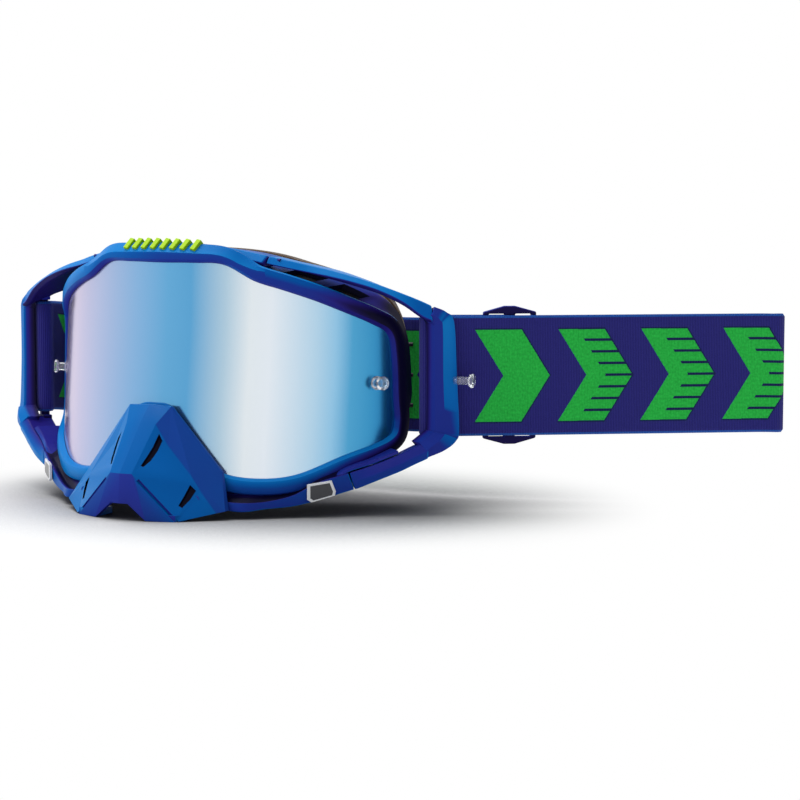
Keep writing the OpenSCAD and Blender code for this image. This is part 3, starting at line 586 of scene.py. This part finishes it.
def shellPair(name, sections, material, **rest):
    # A loft at the right and its mirror image at the left
    for side, flip in sides:
        loft(name + side, sections * [flip, 1, 1], material, "frame_plastic", "frame_shell", **rest)


def upright(outline, levels):
    # The same outline in plan at each level
    return np.stack([np.column_stack([outline, np.full(len(outline), z)]) for z in levels])


# Brow bar: one section carried along its ridge
browRidge = np.array([[0, 7, 39.6], [10, 7.6, 39.5], [20, 9.5, 38.7], [29, 13.6, 36.9], [37.6, 17.8, 34.9]])
browSection = np.array([[0, 0, 0], [0, -4.2, -2.6], [0, -2, -4.6], [0, 6, -4], [0, 6.5, -1.2]])
browLine = np.vstack([browRidge[:0:-1] * [-1, 1, 1], browRidge])
loft("browBar", browLine[:, None] + browSection, framePlastic, "frame_plastic", "frame_shell", edge=0.6)

# Lower bars. A trough runs along each one's top and fades out before the badge, its floor darkened with painted shade.
lowBar = np.array([
    [[25, -5.5, -54.2], [25, -5.5, -57.2], [24, 0, -57.2], [24, 1.5, -51.6]],
    [[38, -4.2, -54.8], [39, -4.6, -58.2], [36.5, 2, -58], [35.5, 4.5, -51.4]],
    [[46, 1.8, -54.6], [46.4, 1.7, -57.4], [43.5, 7.5, -57], [42.5, 9.4, -50.6]],
    [[54, 8.4, -52.4], [54.4, 8.6, -56.6], [51, 13.6, -56], [50, 15.4, -48.6]],
    [[61, 13, -48.2], [62, 14.8, -54.4], [58, 19, -54], [56.5, 20, -45.8]],
    [[70, 21.2, -44.8], [71.6, 23, -51], [67.5, 27, -50.6], [66, 26, -43]]])
# The trough corner's tone of -0.5 is painted shade
trough = {"deep": 2.0, "at": 0.3, "share": [1, 1, 1, 1, 0.5, 0.1], "tones": [0.05, 0, 0, 0, -0.5]}
troughLine = between(lowBar[:, 0], lowBar[:, 3], trough["at"]) + np.outer(trough["share"], [0, 0.4, -trough["deep"]])
lowSections = np.concatenate([lowBar, troughLine[:, None]], axis=1)
shellPair("lowBar", lowSections, lowPlastic, edge=0.45, tones=trough["tones"])

# Web between the rim's lower corner and the lower arm's root
webFront = np.array([[[65.2, 18.6, -47.6], [64.9, 19.4, -46.6]], [[70.3, 22, -44.2], [69.8, 22.7, -42.7]],
                     [[76.7, 28, -41.7], [76.1, 28.9, -40.3]], [[84.5, 33.6, -37.9], [83.6, 34.8, -36.9]]])
webAt = [int(at * fine) for at in (13.5, 13, 12.5, 12)]
webBack = np.stack([lensRing(rimOut - 2.2, -1)[webAt], lensRing(rimOut - 0.7, -1)[webAt]], axis=1)
shellPair("cornerWeb", np.concatenate([webFront, webBack], axis=1), lowPlastic, edge=0.4)

# Dark tab behind the seam between the lower bar and the lower arm, a painted shadow in the gap between them
seamShadowTab = [[66, 26.8], [73.5, 30.4], [72.3, 32.6], [65, 29]]
shellPair("seamShadowTab", upright(seamShadowTab, (-48.6, -42.6)), navyPlastic, fine=1, edge=0.3)
print("frame made")


# Outriggers. In plan, s runs along the strap bar's face from its outer edge and t behind it.
along, behind = np.array([math.cos(slant), math.sin(slant)]), np.array([-math.sin(slant), math.cos(slant)])


def plan(s, t):
    # The bar's edge, plus s times its direction, plus t times the direction behind it
    return form["barEdge"] + np.multiply.outer(s, along) + np.multiply.outer(t, behind)


def plan3(points):
    # The same for points (s, t, z)
    points = np.asarray(points, float)
    return np.concatenate([plan(points[..., 0], points[..., 1]), points[..., 2:]], axis=-1)


upperEdge = np.array([[38, 18, 34.7], [46, 21, 32.9], [52, 23.7, 31.4], [60, 26.3, 29.5], [68, 29.5, 27.2],
                      [76, 33.2, 24.4], [84, 37, 21.2], [90, 40.2, 18.5], [93.6, 42.2, 16.6]])
lowerEdge = np.array([[94.6, 37.8, -39.7], [90, 34.6, -42.2], [86, 31.7, -44.5], [78, 26.1, -48.3]])
lowerEnd = [[71.9, 23.3, -51.1], [71.1, 22.3, -48], [70.4, 21.6, -44.6], [67.2, 26.6, -46.2], [67.8, 27.4, -50.4]]
frontBar = np.array([
    [[-8.6, 2, 16.2], [-9.6, -0.5, 13.6], [-11.4, 0.6, 12.8], [-13.8, 4, 13], [-9, 4, 15.8]],
    [[-4.2, 2.2, 14.2], [-6.6, -0.2, 11.2], [-9.2, 0.2, 10.2], [-12, 4, 10.6], [-4.6, 4, 14]],
    [[-1.2, 2.4, 10], [-5.8, 0, 8.2], [-8.8, 0.2, 7.6], [-11.5, 4, 7.8], [-1.6, 4, 9.8]],
    [[-0.2, 2.2, -10], [-5.6, 0, -10], [-8.7, 0.2, -10], [-11.4, 4, -10], [-0.6, 4, -10]],
    [[0.5, 1, -29], [-5, -0.6, -28.6], [-8.7, -0.2, -28.2], [-11.5, 4, -27.6], [0, 4, -29]],
    [[-0.8, -0.6, -33.4], [-5.4, -1.6, -31], [-9.4, -0.8, -30], [-12.2, 4, -29.8], [-1.2, 4, -33]],
    [[-5.4, -2, -36.8], [-8, -2.5, -33.6], [-11.4, -0.8, -31.6], [-14, 4, -31.4], [-6, 4, -36.2]],
    [[-12.4, -2.3, -39.6], [-12.4, -2.8, -36.8], [-14.4, -0.4, -33.9], [-17, 4, -33.8], [-12.4, 3.9, -38.8]]])


def upperSections():
    # The arm turns from the brow's direction to the bar's, and is deepest along its middle
    x = upperEdge[:, 0]
    turn = slant * np.clip((x - 38) / 46, 0, 1)
    q = np.stack([-np.sin(turn), np.cos(turn), 0 * turn], axis=1)
    up = np.array([0, 0, 1.0])
    thick = np.clip((x - 46) / 20, 0, 1) - np.clip((x - 80) / 10, 0, 1) / 2
    low = form["armH"] + 3.2 * np.clip((x - 76) / 14, 0, 1) ** 2
    d = (form["armD"] + 4.5 * np.clip((x - 46) / 14, 0, 1) * np.clip((93 - x) / 8, 0, 1))[:, None]
    return np.stack([upperEdge, upperEdge - 2.4 * q - (low - 0.6 - 0.8 * thick)[:, None] * up,
                     upperEdge - 0.4 * q - (low - 0.4 + 0.4 * thick)[:, None] * up,
                     upperEdge + d * q - (1.8 + 1.6 * thick)[:, None] * up, upperEdge + d * q - 0.6 * up], axis=1)


def lowerSections():
    # At each point of the edge a five-cornered section behind it, then the end's own corners
    h, d = form["armH"], form["armD"]
    lifts = [(0, 0), (-0.5, 3), (2, h + 2.8), (d + 4, h + 2), (d + 4, 0.8)]
    rows = np.stack([lowerEdge + [f * behind[0], f * behind[1], z] for f, z in lifts], axis=1)
    return np.concatenate([rows, [lowerEnd]])


def barSections():
    # One more corner on the bar's inner slope, so that the tone can change near its edge
    extra = between(frontBar[:, 2:3], frontBar[:, 3:4], 0.3)
    return plan3(np.concatenate([frontBar[:, :3], extra, frontBar[:, 3:]], axis=1))


# The strap's band runs between the front bar and the rear bar, and folds round the rear one
bandT = form["frontBarT"] + 2 * form["slotGap"] + form["strapT"] / 2
barMidT = bandT + form["strapT"] / 2 + form["slotGap"] + form["barT"] / 2
barInS = -11.6
strapLow, strapTop = (form["strapMid"] + way * form["strapW"] / 2 for way in (-1, 1))


def rearBarSections():
    # Upright, and in plan a rectangle between two half circles
    r = form["barT"] / 2
    inner, outer = np.radians(np.arange(90, 271, 12)), np.radians(np.arange(-90, 91, 12))
    s = np.concatenate([barInS + r + r * np.cos(inner), barInS + form["barW"] - r + r * np.cos(outer)])
    t = barMidT + r * np.concatenate([np.sin(inner), np.sin(outer)])
    return upright(plan(s, t), np.linspace(strapLow - 5.4, strapTop + 2.2, 6))


def barEnd(low, high):
    # A block over the rear bar's plan, from one height to another
    first, last = barInS - 2, barInS + form["barW"] - 0.4
    near, far = barMidT - form["barT"] / 2, barMidT + form["barT"] / 2
    return upright(plan([first, last, last, first], [near, near, far, far]), (low, high))


# Painted highlight: how much brighter the left arm's outer edges are, corner by corner
edgeHighlights = {"upperArm": [0.32, -0.04, 0, 0, 0.2], "lowerArm": [0.5, 0.28, -0.06, 0, 0.3],
             "frontBar": [0.45, 0.45, 0.45, -0.06, -0.06, 0.45]}


def makeOutrigger(side, flip):
    pieces = [("upperArm", upperSections(), armPlastic, 6, 0.55), ("lowerArm", lowerSections(), lowPlastic, 6, 0.55),
              ("frontBar", barSections(), barPlastic, 8, 0.6), ("rearBar", rearBarSections(), navyPlastic, 2, 0.3),
              ("barTop", barEnd(strapTop + 0.7, strapTop + 2.4), armPlastic, 1, 0.3),
              ("barFoot", barEnd(strapLow - 5.6, strapLow - 1.4), navyPlastic, 1, 0.3)]
    for name, sections, material, fineness, edge in pieces:
        loft(name + side, sections * [flip, 1, 1], material, "frame_plastic", "outrigger_" + side.lower(),
             fine=fineness, edge=edge, tones=edgeHighlights.get(name) if flip < 0 else None)


for side, flip in sides:
    makeOutrigger(side, flip)
print("outriggers made")


# Nose guard: the solid's own facets, vents and grooves with rounded edges
guardLook = {"edge": 0.32, "angle": 7, "flat": 1.0, "margin": 0.12}
# The vents' outlines at one side, by x and z
guardVents = [np.array([[8.4, -30.3], [10, -32.8], [9.7, -36.2], [8.8, -39.6], [7.4, -41.7], [6.5, -41.3],
                        [7.3, -38.2], [8, -34.8]]),
              np.array([[22.7, -48.2], [24.9, -50.3], [24, -53.4], [22.5, -56.1], [21.2, -55.4], [22, -52]])]


def insideOutline(points, outline, margin):
    # Which points lie within the outline, or nearer to it than the margin
    near, crossed = np.zeros((2, len(points)), bool)
    for start, end in zip(outline, np.roll(outline, -1, 0)):
        way = end - start
        f = np.clip(((points - start) @ way) / (way @ way), 0, 1)
        near |= np.linalg.norm(points - start - f[:, None] * way, axis=1) < margin
        spans = (start[1] > points[:, 1]) != (end[1] > points[:, 1])
        crossed ^= spans & (points[:, 0] < start[0] + (points[:, 1] - start[1]) * way[0] / (way[1] + 1e-9))
    return near | crossed


def makeGuard(look):
    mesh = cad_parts["nose_guard"].data.copy()
    mesh.name = "noseGuard"
    cleanMesh(mesh, 2e-6, look["flat"])
    piece = addPiece("noseGuard", mesh, guardPlastic, "nose_guard", "nose_guard")
    # Faces with all their corners inside a vent's outline are the pocket's walls and floor, which get near-black
    # plastic as painted shade
    corners = np.array([tuple(v.co) for v in mesh.vertices]) / mm
    flat = np.column_stack([np.abs(corners[:, 0]), corners[:, 2]])
    within = [insideOutline(flat, vent, look["margin"]) for vent in guardVents]
    mesh.materials.append(pocketShadePlastic)
    for face in mesh.polygons:
        if any(hit[list(face.vertices)].all() for hit in within):
            face.material_index = 1
    bevel(piece, look["edge"], 2, look["angle"])


makeGuard(guardLook)
print("nose guard made")


# Lens: columns from the lower edge to the upper one, each at the sine of its share of a quarter
# turn, so that they are close together at the two ends, the outline's widest corners
lensLook = {"columns": 160, "rows": 14, "widest": 10.5, "edge": 0.15}


def makeLens(look):
    edge = lensLoop + lensOut * form["bite"]
    split = int(look["widest"] * fine)
    top, low = edge[:split + 1], edge[split:loopN // 2 + 1][::-1]
    reach = edge[split, 0]
    u = reach * np.sin(np.pi / 2 * np.linspace(-1, 1, look["columns"] + 1))
    v = np.minimum(np.abs(u), reach - 0.02)
    high, deep = (np.interp(v, line[:, 0], line[:, 1])[:, None] for line in (top, low))
    w = between(deep, high, np.linspace(0, 1, look["rows"]))
    front, back = (onLens(np.broadcast_to(u[:, None], w.shape), w, d) for d in (0.0, -form["lensT"]))
    rows = np.concatenate([front, back[:, ::-1]], axis=1)
    bevel(newPiece("lensSheet", rows, mirror, "lens"), look["edge"], 2, 50)


makeLens(lensLook)

# Tear-off posts: a ribbed shaft between two flanges, with a nut behind the lens, and a longer
# one on the right outrigger's edge
postLook = {"u": 86.0, "w": -9.5, "r": 1.5, "head": 2.6, "long": 5.2, "flange": 1.4}
edgePost = {"r": 1.5, "head": 2.6, "long": 7.6, "flange": 1.5, "lean": 26.0}


def tube(name, start, axis, radii, node):
    # Surface of revolution: radii is a row of (distance along the axis, radius)
    one = np.cross(axis, [0, 0, 1.0])
    one /= np.linalg.norm(one)
    two = np.cross(axis, one)
    turn = np.linspace(0, 2 * np.pi, 40, endpoint=False)
    circle = np.multiply.outer(np.cos(turn), one) + np.multiply.outer(np.sin(turn), two)
    rows = np.stack([start + axis * h + circle * r for h, r in radii])
    newPiece(name, rows, clear, node)


def postHead(look):
    # The flange at a post's outer end
    start, end, head = look["long"] - look["flange"], look["long"], look["head"]
    return [(start, look["r"]), (start + 0.1, head - 0.2), (start + 0.3, head), (end - 0.3, head), (end, head - 0.4)]


def makeLensPost(look, side, flip):
    angle, lean = flip * look["u"] / form["lensR"], math.radians(form["lean"])
    place = onLens(flip * look["u"], look["w"], 0.0)
    normal = np.array([math.sin(angle), -math.cos(angle) * math.cos(lean), math.cos(angle) * math.sin(lean)])
    r, head = look["r"], look["head"]
    foot = [(-form["lensT"] - 1.6, r - 0.1), (0.02, r), (0.05, head - 0.2), (0.2, head), (0.7, head), (0.85, r + 0.1)]
    ribs = [(0.9 + 0.36 * k, r + (0.18 if k % 2 else -0.08)) for k in range(8)]
    tube("lensPost" + side, place, normal, foot + ribs + postHead(look), "lens_posts")
    tube("postNut" + side, place, normal, [(-3.1, 2.7), (-2.8, 3.0), (-1.4, 3.0), (-1.3, 2.8)], "post_nuts")


def makeEdgePost(look):
    turn = math.radians(form["strapAngle"] - look["lean"])
    ribs = [(1.4 + 0.4 * k, look["r"] - (0.2 if k % 2 else 0.0)) for k in range(11)]
    tube("edgePostRight", plan3([-1.2, 2.2, -11.2]), np.array([math.cos(turn), math.sin(turn), 0]),
         [(0, look["r"] - 0.1)] + ribs + postHead(look), "outrigger_posts")


for side, flip in sides:
    makeLensPost(postLook, side, flip)
makeEdgePost(edgePost)
print("lens and posts made")


# Face foam: a rounded cushion section carried round the flange, a little wider than it
foamLook = {"steps": 28, "power": 0.42, "over": 1.2, "waist": 0.45, "glue": 0.12}


def makeFoam(name, material, node, back, thick, inset=0.0, crown=0.0):
    # Cosine and sine of the section's angle, each to a low power, make a rounded box. Its sides
    # are drawn in by the waist and its back is crowned.
    a = np.linspace(0, 2 * np.pi, foamLook["steps"], endpoint=False)
    across, deep = (np.sign(q) * np.abs(q) ** foamLook["power"] for q in (np.cos(a), np.sin(a)))
    half = (form["flangeW"] + foamLook["over"]) / 2
    by = (half - inset) * across - half - foamLook["waist"] * (1 - np.abs(deep)) * np.sign(across)
    thick = thick - foamLook["glue"]
    rise = crown * np.clip(deep, 0, None) * np.cos(across * np.pi / 2)
    depth = back + foamLook["glue"] + thick / 2 * (1 + deep) + rise
    rings = np.stack([foamRing(*pair) for pair in zip(by, depth)])
    piece = newPiece(name, rings, material, node, faces=gridFaces(len(rings), loopN))


makeFoam("foamBase", openFoam, "face_foam_base", 0, form["base"], inset=0.3)
makeFoam("foamCore", coreFoam, "face_foam_core", form["base"], form["core"])
makeFoam("foamFleece", fleeceCloth, "face_fleece", form["base"] + form["core"], form["fleece"], 0.5, 0.8)


# Filter foam under the vents: a strip along the wall's inside, from station to station
def filterStrip(name, first, last, node, gap=0.3):
    pick = np.arange(int(first * fine), int(last * fine) + 1) % loopN
    side = np.column_stack([faceOut[:, 0], np.zeros(loopN), faceOut[:, 1]])
    corners = [(0.1, gap), (0.9, gap), (0.9, gap + form["filter"]), (0.1, gap + form["filter"])]
    rows = np.stack([(between(innerEnd, innerNeck, f) - off * side)[pick] for f, off in corners], axis=1)
    loft(name, rows, filterFoam, "filter_foam", node, fine=1, edge=0.3)


filterStrip("topFilter", -7, 7, "top_vent_foam")
filterStrip("lowFilterRight", 13, 16.5, "bottom_vent_foam")
filterStrip("lowFilterLeft", stations - 16.5, stations - 13, "bottom_vent_foam")
print("foam made")


# Strap: a flat section with rounded edges carried along its path in plan. The band's rear run
# is clear of the foam's back at the temples.
templeBack = form["faceDepth"] + form["faceCurve"] * 75.2**2 + foamT + 6.8
rearClear = 7.2
ribbonLook = {"step": 0.7, "rows": 44, "soften": 12}


def rearY(x):
    # The band's rear run is a straight line that falls back one in sixty
    return templeBack + rearClear + x / 60


def arcPoints(centre, r, first, last, count):
    # Circle: the centre plus r times the cosine along the bar and the sine behind it
    a = np.radians(np.linspace(first, last, count + 1))
    return centre + r * (np.multiply.outer(np.cos(a), along) + np.multiply.outer(np.sin(a), behind))


loopR = form["barT"] / 2 + form["slotGap"] + form["strapT"] / 2
loopEndS = barInS + form["barW"]
returnT = barMidT + loopR
foldR = 3.0
loopC = plan(barInS + form["barT"] / 2, barMidT)
rightLoop = np.vstack([plan(loopEndS, returnT), arcPoints(loopC, loopR, 90, 270, 24)])
fold = arcPoints(plan(form["nearHalf"], bandT + foldR), foldR, -90, 72, 20)
rearRun = np.array([[150, 22.8], [110, 10.5], [84, 3.7], [62, 0.5], [30, 0], [-62, 0], [-78, -0.6], [-88, -4.4]])
rearRun[:, 1] += rearY(rearRun[:, 0])
leftRun = np.array([[-94.5, -7.6], [-97.6, -17.6], [-98.4, -23]]) + [0, templeBack]
leftSlot = plan([-2.5, -8], [bandT, bandT]) * [-1, 1]
bandPath = np.vstack([rightLoop, fold, rearRun, leftRun, leftSlot, rightLoop[::-1] * [-1, 1]])
rearShares = [0.45, 0.7, 0.85, 1, 1, 1, 0.9, 0.7, 0.4, 0.15, 0.05]
bandShares = np.concatenate([np.zeros(len(rightLoop)), np.linspace(0, 0.15, len(fold)), rearShares,
                             np.zeros(len(leftSlot) + len(rightLoop))])


def ribbon(name, path, shares, material, node, body="goggles", start=0.0):
    # Points at equal distances along the path, each let down by its share of the drop
    length = np.concatenate([[0], np.cumsum(np.linalg.norm(np.diff(path, axis=0), axis=1))])
    at = np.linspace(0, length[-1], int(length[-1] / ribbonLook["step"]) + 1)
    points = np.column_stack([np.interp(at, length, path[:, k]) for k in (0, 1)])
    soften = ribbonLook["soften"]
    down = np.pad(form["strapDrop"] * np.interp(at, length, shares), soften, mode="edge")
    down = np.convolve(down, np.ones(2 * soften + 1) / (2 * soften + 1), mode="valid")
    slope = np.gradient(points, axis=0)
    slope /= np.linalg.norm(slope, axis=1, keepdims=True)
    side = np.column_stack([-slope[:, 1], slope[:, 0]])
    # The section is thinner towards its two edges, as a half circle is
    v, half = np.linspace(0, form["strapW"], ribbonLook["rows"]), form["strapT"] / 2
    inEdge = np.clip((np.abs(v - form["strapW"] / 2) - form["strapW"] / 2 + half) / half, 0, 1)
    thin = half * np.sqrt(np.clip(1 - inEdge**2, 0.02, 1))
    offsets, heights = np.concatenate([thin, -thin[::-1]]), np.concatenate([v, v[::-1]])
    corner = points[:, None] + side[:, None] * offsets[None, :, None]
    rise = strapLow + heights[None, :] - down[:, None]
    rows = np.concatenate([corner, rise[:, :, None]], axis=2)
    uv = np.stack(np.broadcast_arrays((at + start)[:, None], heights[None, :]), axis=-1).reshape(-1, 2)
    return newPiece(name, rows, material, node, body, uv=uv)


ribbon("strapBand", bandPath, bandShares, strapCloth, "strap_band")

# The strap's two ends come back from the bars, and each lies under its slider
slider = {"long": 20.0, "thick": 2.2, "rightAt": 20.3, "leftX": -50.0, "gap": 0.3, "lug": 3.4}
sliderBack = form["strapT"] + slider["thick"] + 2 * slider["gap"]
sliderBackT = bandT + sliderBack
rightReturn = plan([loopEndS + 0.3, 0, slider["rightAt"] - 8, slider["rightAt"] - 5, slider["rightAt"] + 2],
                   [returnT, returnT, sliderBackT + 0.2, sliderBackT, sliderBackT])
leftEnd = slider["leftX"] - 2
leftReturn = np.vstack([plan(loopEndS + 0.9, returnT + 0.1) * [-1, 1], [-92.2, templeBack - 20],
                        [-92.4, templeBack - 14.6], [-90.2, templeBack - 7.6], [-85, templeBack - 1.4],
                        [-78, rearY(-78) - sliderBack - 0.2], [-68, rearY(-68) - sliderBack - 0.2],
                        [leftEnd, rearY(leftEnd) - sliderBack - 0.1]])
leftShares = [0, 0.1, 0.3, 0.6, 0.8, 0.9, 1, 1]
rightPiece = ribbon("strapReturnRight", rightReturn, [0] * len(rightReturn), returnCloth, "strap_return_right", None)
leftPiece = ribbon("strapReturnLeft", leftReturn, leftShares, strapCloth, "strap_return_left", None, start=23.0)


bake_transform(rightPiece)
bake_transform(leftPiece)


# Sliders: an eight-sided plate with two windows, filled flat and then given its thickness
def makeSlider(side, centre, turn):
    h, l, lug = form["strapW"] / 2, slider["long"] / 2, slider["lug"]
    outline = np.array([[-l, h + 1.2], [-2, h + lug], [2, h + lug], [l, h + 1.2],
                        [l, -h - 1.2], [2, -h - lug], [-2, -h - lug], [-l, -h - 1.2]])
    w, top = l / 2 - 2, h + 0.5
    windows = [np.array([[-w, -top], [w, -top], [w, top], [-w, top]]) + [shift, 0] for shift in (-l / 2, l / 2)]
    flat = np.array([[math.cos(turn), math.sin(turn), 0], [0, 0, 1]])
    out = np.cross(flat[0], flat[1])
    work, edges = bmesh.new(), []
    for ring in [outline] + windows:
        corners = [work.verts.new(p * mm) for p in centre + ring @ flat - out * slider["thick"] / 2]
        edges += [work.edges.new(pair) for pair in zip(corners, corners[1:] + corners[:1])]
    bmesh.ops.triangle_fill(work, use_beauty=True, edges=edges)
    raised = bmesh.ops.extrude_face_region(work, geom=work.faces[:])["geom"]
    moved = [v for v in raised if isinstance(v, bmesh.types.BMVert)]
    bmesh.ops.translate(work, verts=moved, vec=Vector(out * slider["thick"] * mm))
    mesh = bpy.data.meshes.new("slider" + side)
    work.to_mesh(mesh)
    work.free()
    cleanMesh(mesh)
    node = "slider_" + side.lower()
    bevel(addPiece("slider" + side, mesh, navyPlastic, node, node), 0.45)


sliderMid = form["strapT"] / 2 + slider["gap"] + slider["thick"] / 2
makeSlider("Right", plan3([slider["rightAt"], bandT + sliderMid, form["strapMid"]]), slant)
leftPlace = [slider["leftX"], rearY(slider["leftX"]) - sliderMid, form["strapMid"] - form["strapDrop"]]
makeSlider("Left", leftPlace, math.atan(1 / 60))

# Silicone beads: half-round ridges on the band's inner face
beadLook = {"apart": 12, "from": -6, "to": 62, "wide": 0.8, "high": 0.6}


def makeBeads(look):
    # Half an ellipse in section, carried along the rear run's line
    x = np.linspace(look["from"], look["to"], 35)
    y = rearY(x) + 0.5 * np.clip((x - 30) / 32, 0, 1) - form["strapT"] / 2 - 0.02
    turn = np.linspace(0, np.pi, 9)
    for row in (-1, 0, 1):
        z = form["strapMid"] - form["strapDrop"] + row * look["apart"] + look["wide"] * np.cos(turn)
        ridge = np.stack(np.broadcast_arrays(x[:, None], y[:, None] - look["high"] * np.sin(turn), z), axis=-1)
        loft("gripBead%d" % (row + 2), ridge, rubber, "silicone", "strap_grip", fine=1, edge=0.05)


makeBeads(beadLook)
print("strap made")


def turned(*turns):
    # Matrix of turns in degrees about X, Y or Z, the last one made first
    whole = Matrix.Identity(3)
    for degrees, axis in turns:
        whole = whole @ Matrix.Rotation(math.radians(degrees), 3, axis)
    return np.array(whole)


# Brow ribs: plain raised bars, leaning over to one side
ribLook = {"count": 8, "span": 30.0, "wide": 2.6, "top": 0.7, "tilt": 46.8, "lean": -14.0}


def makeBrowRibs(look):
    # One box with a narrower top, set at equal steps of x, back and down by the square of x
    half, top = look["wide"] / 2, look["top"]
    section = [(-half, -1.5), (half, -1.5), (half - 0.2, top), (-half + 0.2, top)]
    rib = np.array([[(x, y, z) for x, z in section] for y in (-2.5, -1, 1, 2.5)])
    rib = rib @ turned((look["tilt"], "X"), (look["lean"], "Z")).T
    for i in range(look["count"]):
        x = look["span"] * (i / (look["count"] - 1) - 0.5)
        place = [x, 2.6 + 0.006 * x * x, 39.0 - 0.0013 * x * x]
        loft("browRib%d" % (i + 1), rib + place, greenPlastic, "green_ribs", "brow_grip", fine=1, edge=0.3)


makeBrowRibs(ribLook)

# Badges: bare six-sided plates. Each layer has its share of the outline's size, its height and
# its U for the finish.
badgeLook = {"place": (62.1, 14.3, -51), "turns": ((42, "Z"), (-8, "Y"), (90, "X")),
             "outline": [[-5.4, -2.4], [-4, -3.6], [5, -2.6], [5.6, -1], [4.6, 3.2], [-4.6, 3.2]],
             "layers": [(1.0, 0.0, 1.0), (1.0, 0.85, 1.0), (0.97, 1.0, 1.0), (0.8, 1.0, 0.81), (0.79, 0.98, 0.79),
                        (0.4, 0.98, 0.4)]}


def makeBadge(look, side, flip):
    outline = np.array(look["outline"])
    centre, n = outline.mean(axis=0), len(outline)
    layers = [np.column_stack([between(centre, outline, grow), np.full(n, high)]) for grow, high, u in look["layers"]]
    points = (np.array(layers) @ turned(*look["turns"]).T + look["place"]) * [flip, 1, 1]
    uv = [(u, 0) for grow, high, u in look["layers"] for corner in outline]
    newPiece("badge" + side, points, plateFinish, "badges", uv=uv, smooth=False)


for side, flip in sides:
    makeBadge(badgeLook, side, flip)

# The outrigger pins keep the solid's own mesh
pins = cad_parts["outrigger_pins"].data
pins.materials.clear()
pins.materials.append(navyPlastic)
print("trim made")


# Floor, world and lamps. The floor turns to plain white away from the goggles; near them, ambient occlusion paints a
# dark contact shadow on it.
stageLook = {"reach": 6.0, "floor": 0.97, "world": 0.42, "shine": 0.95, "clear": 0.07, "white": 0.16,
             "middle": (0.02, 0.03, 0), "contactShadowReach": 0.09, "contactShadowPower": 2.2}
white = (1, 1, 1, 1)


def addFloor(look):
    mesh = bpy.data.meshes.new("studioFloor")
    reach, z = look["reach"], form["floor"] * mm
    corners = [(-reach, -reach, z), (reach, -reach, z), (reach, reach, z), (-reach, reach, z)]
    mesh.from_pydata(corners, [], [(0, 1, 2, 3)])
    shader = Shader("studioPaper")
    point = shader.point()
    dim, light = ((look["floor"] + step,) * 3 + (1,) for step in (-0.005, 0.005))
    paper = shader.mix(shader.noise(30, 3, point), dim, light)
    # Painted contact shadow: the paper is darkened by ambient occlusion near the goggles
    near = shader.signal("AmbientOcclusion", {"Distance": look["contactShadowReach"]}, "AO", samples=8)
    shader.finish(colour=shader.mix(near.power(look["contactShadowPower"]), (0.02, 0.02, 0.03, 1), paper), rough=0.9,
                  specular=0.1)
    flat = shader.signal("VectorMath", {0: point, 1: (1, 1, 0)}, operation="MULTIPLY")
    away = shader.signal("VectorMath", {0: flat, 1: look["middle"]}, "Value", operation="DISTANCE")
    glow = shader.signal("Emission", {"Color": white, "Strength": 1.0})
    lit = Signal(shader, shader.surface.outputs[0])
    blend = shader.signal("MixShader", {0: away.between(look["clear"], look["white"]), 1: lit, 2: glow})
    shader.feed(shader.tree.nodes["Material Output"].inputs["Surface"], blend)
    mesh.materials.append(shader.material)
    addObject("studioFloor", mesh)


def addWorld(look):
    # White to the camera and through clear parts, softer in reflections and as light
    world = bpy.data.worlds.new("studioWorld")
    bpy.context.scene.world = world
    world.use_nodes = True
    world.node_tree.nodes.clear()
    nodes = Nodes(world.node_tree)
    kinds = ("Is Camera Ray", "Is Transmission Ray", "Is Glossy Ray")
    camera, through, glossy = (nodes.signal("LightPath", output=kind) for kind in kinds)
    soft = glossy * (look["shine"] - look["world"]) + look["world"]
    sky = nodes.signal("Background", {"Color": white, "Strength": camera.larger(through).larger(soft)})
    nodes.node("OutputWorld", {"Surface": sky})


def addLamp(name, place, aim, size, power):
    data = bpy.data.lights.new(name, "AREA")
    data.shape = "RECTANGLE"
    data.size, data.size_y = size
    data.energy = power
    lamp = addObject(name, data)
    lamp.location = place
    lookAlong(lamp, Vector(aim) - Vector(place))


addFloor(stageLook)
addWorld(stageLook)
addLamp("topLamp", (-0.45, 0.15, 1.25), (0.05, 0.04, 0), (1.0, 1.0), 14.0)
addLamp("keyLamp", (-0.9, -1.0, 0.8), (0.03, 0.02, 0), (0.8, 0.8), 6.0)
bpy.context.scene.view_settings.view_transform = "Standard"
print("stage made")
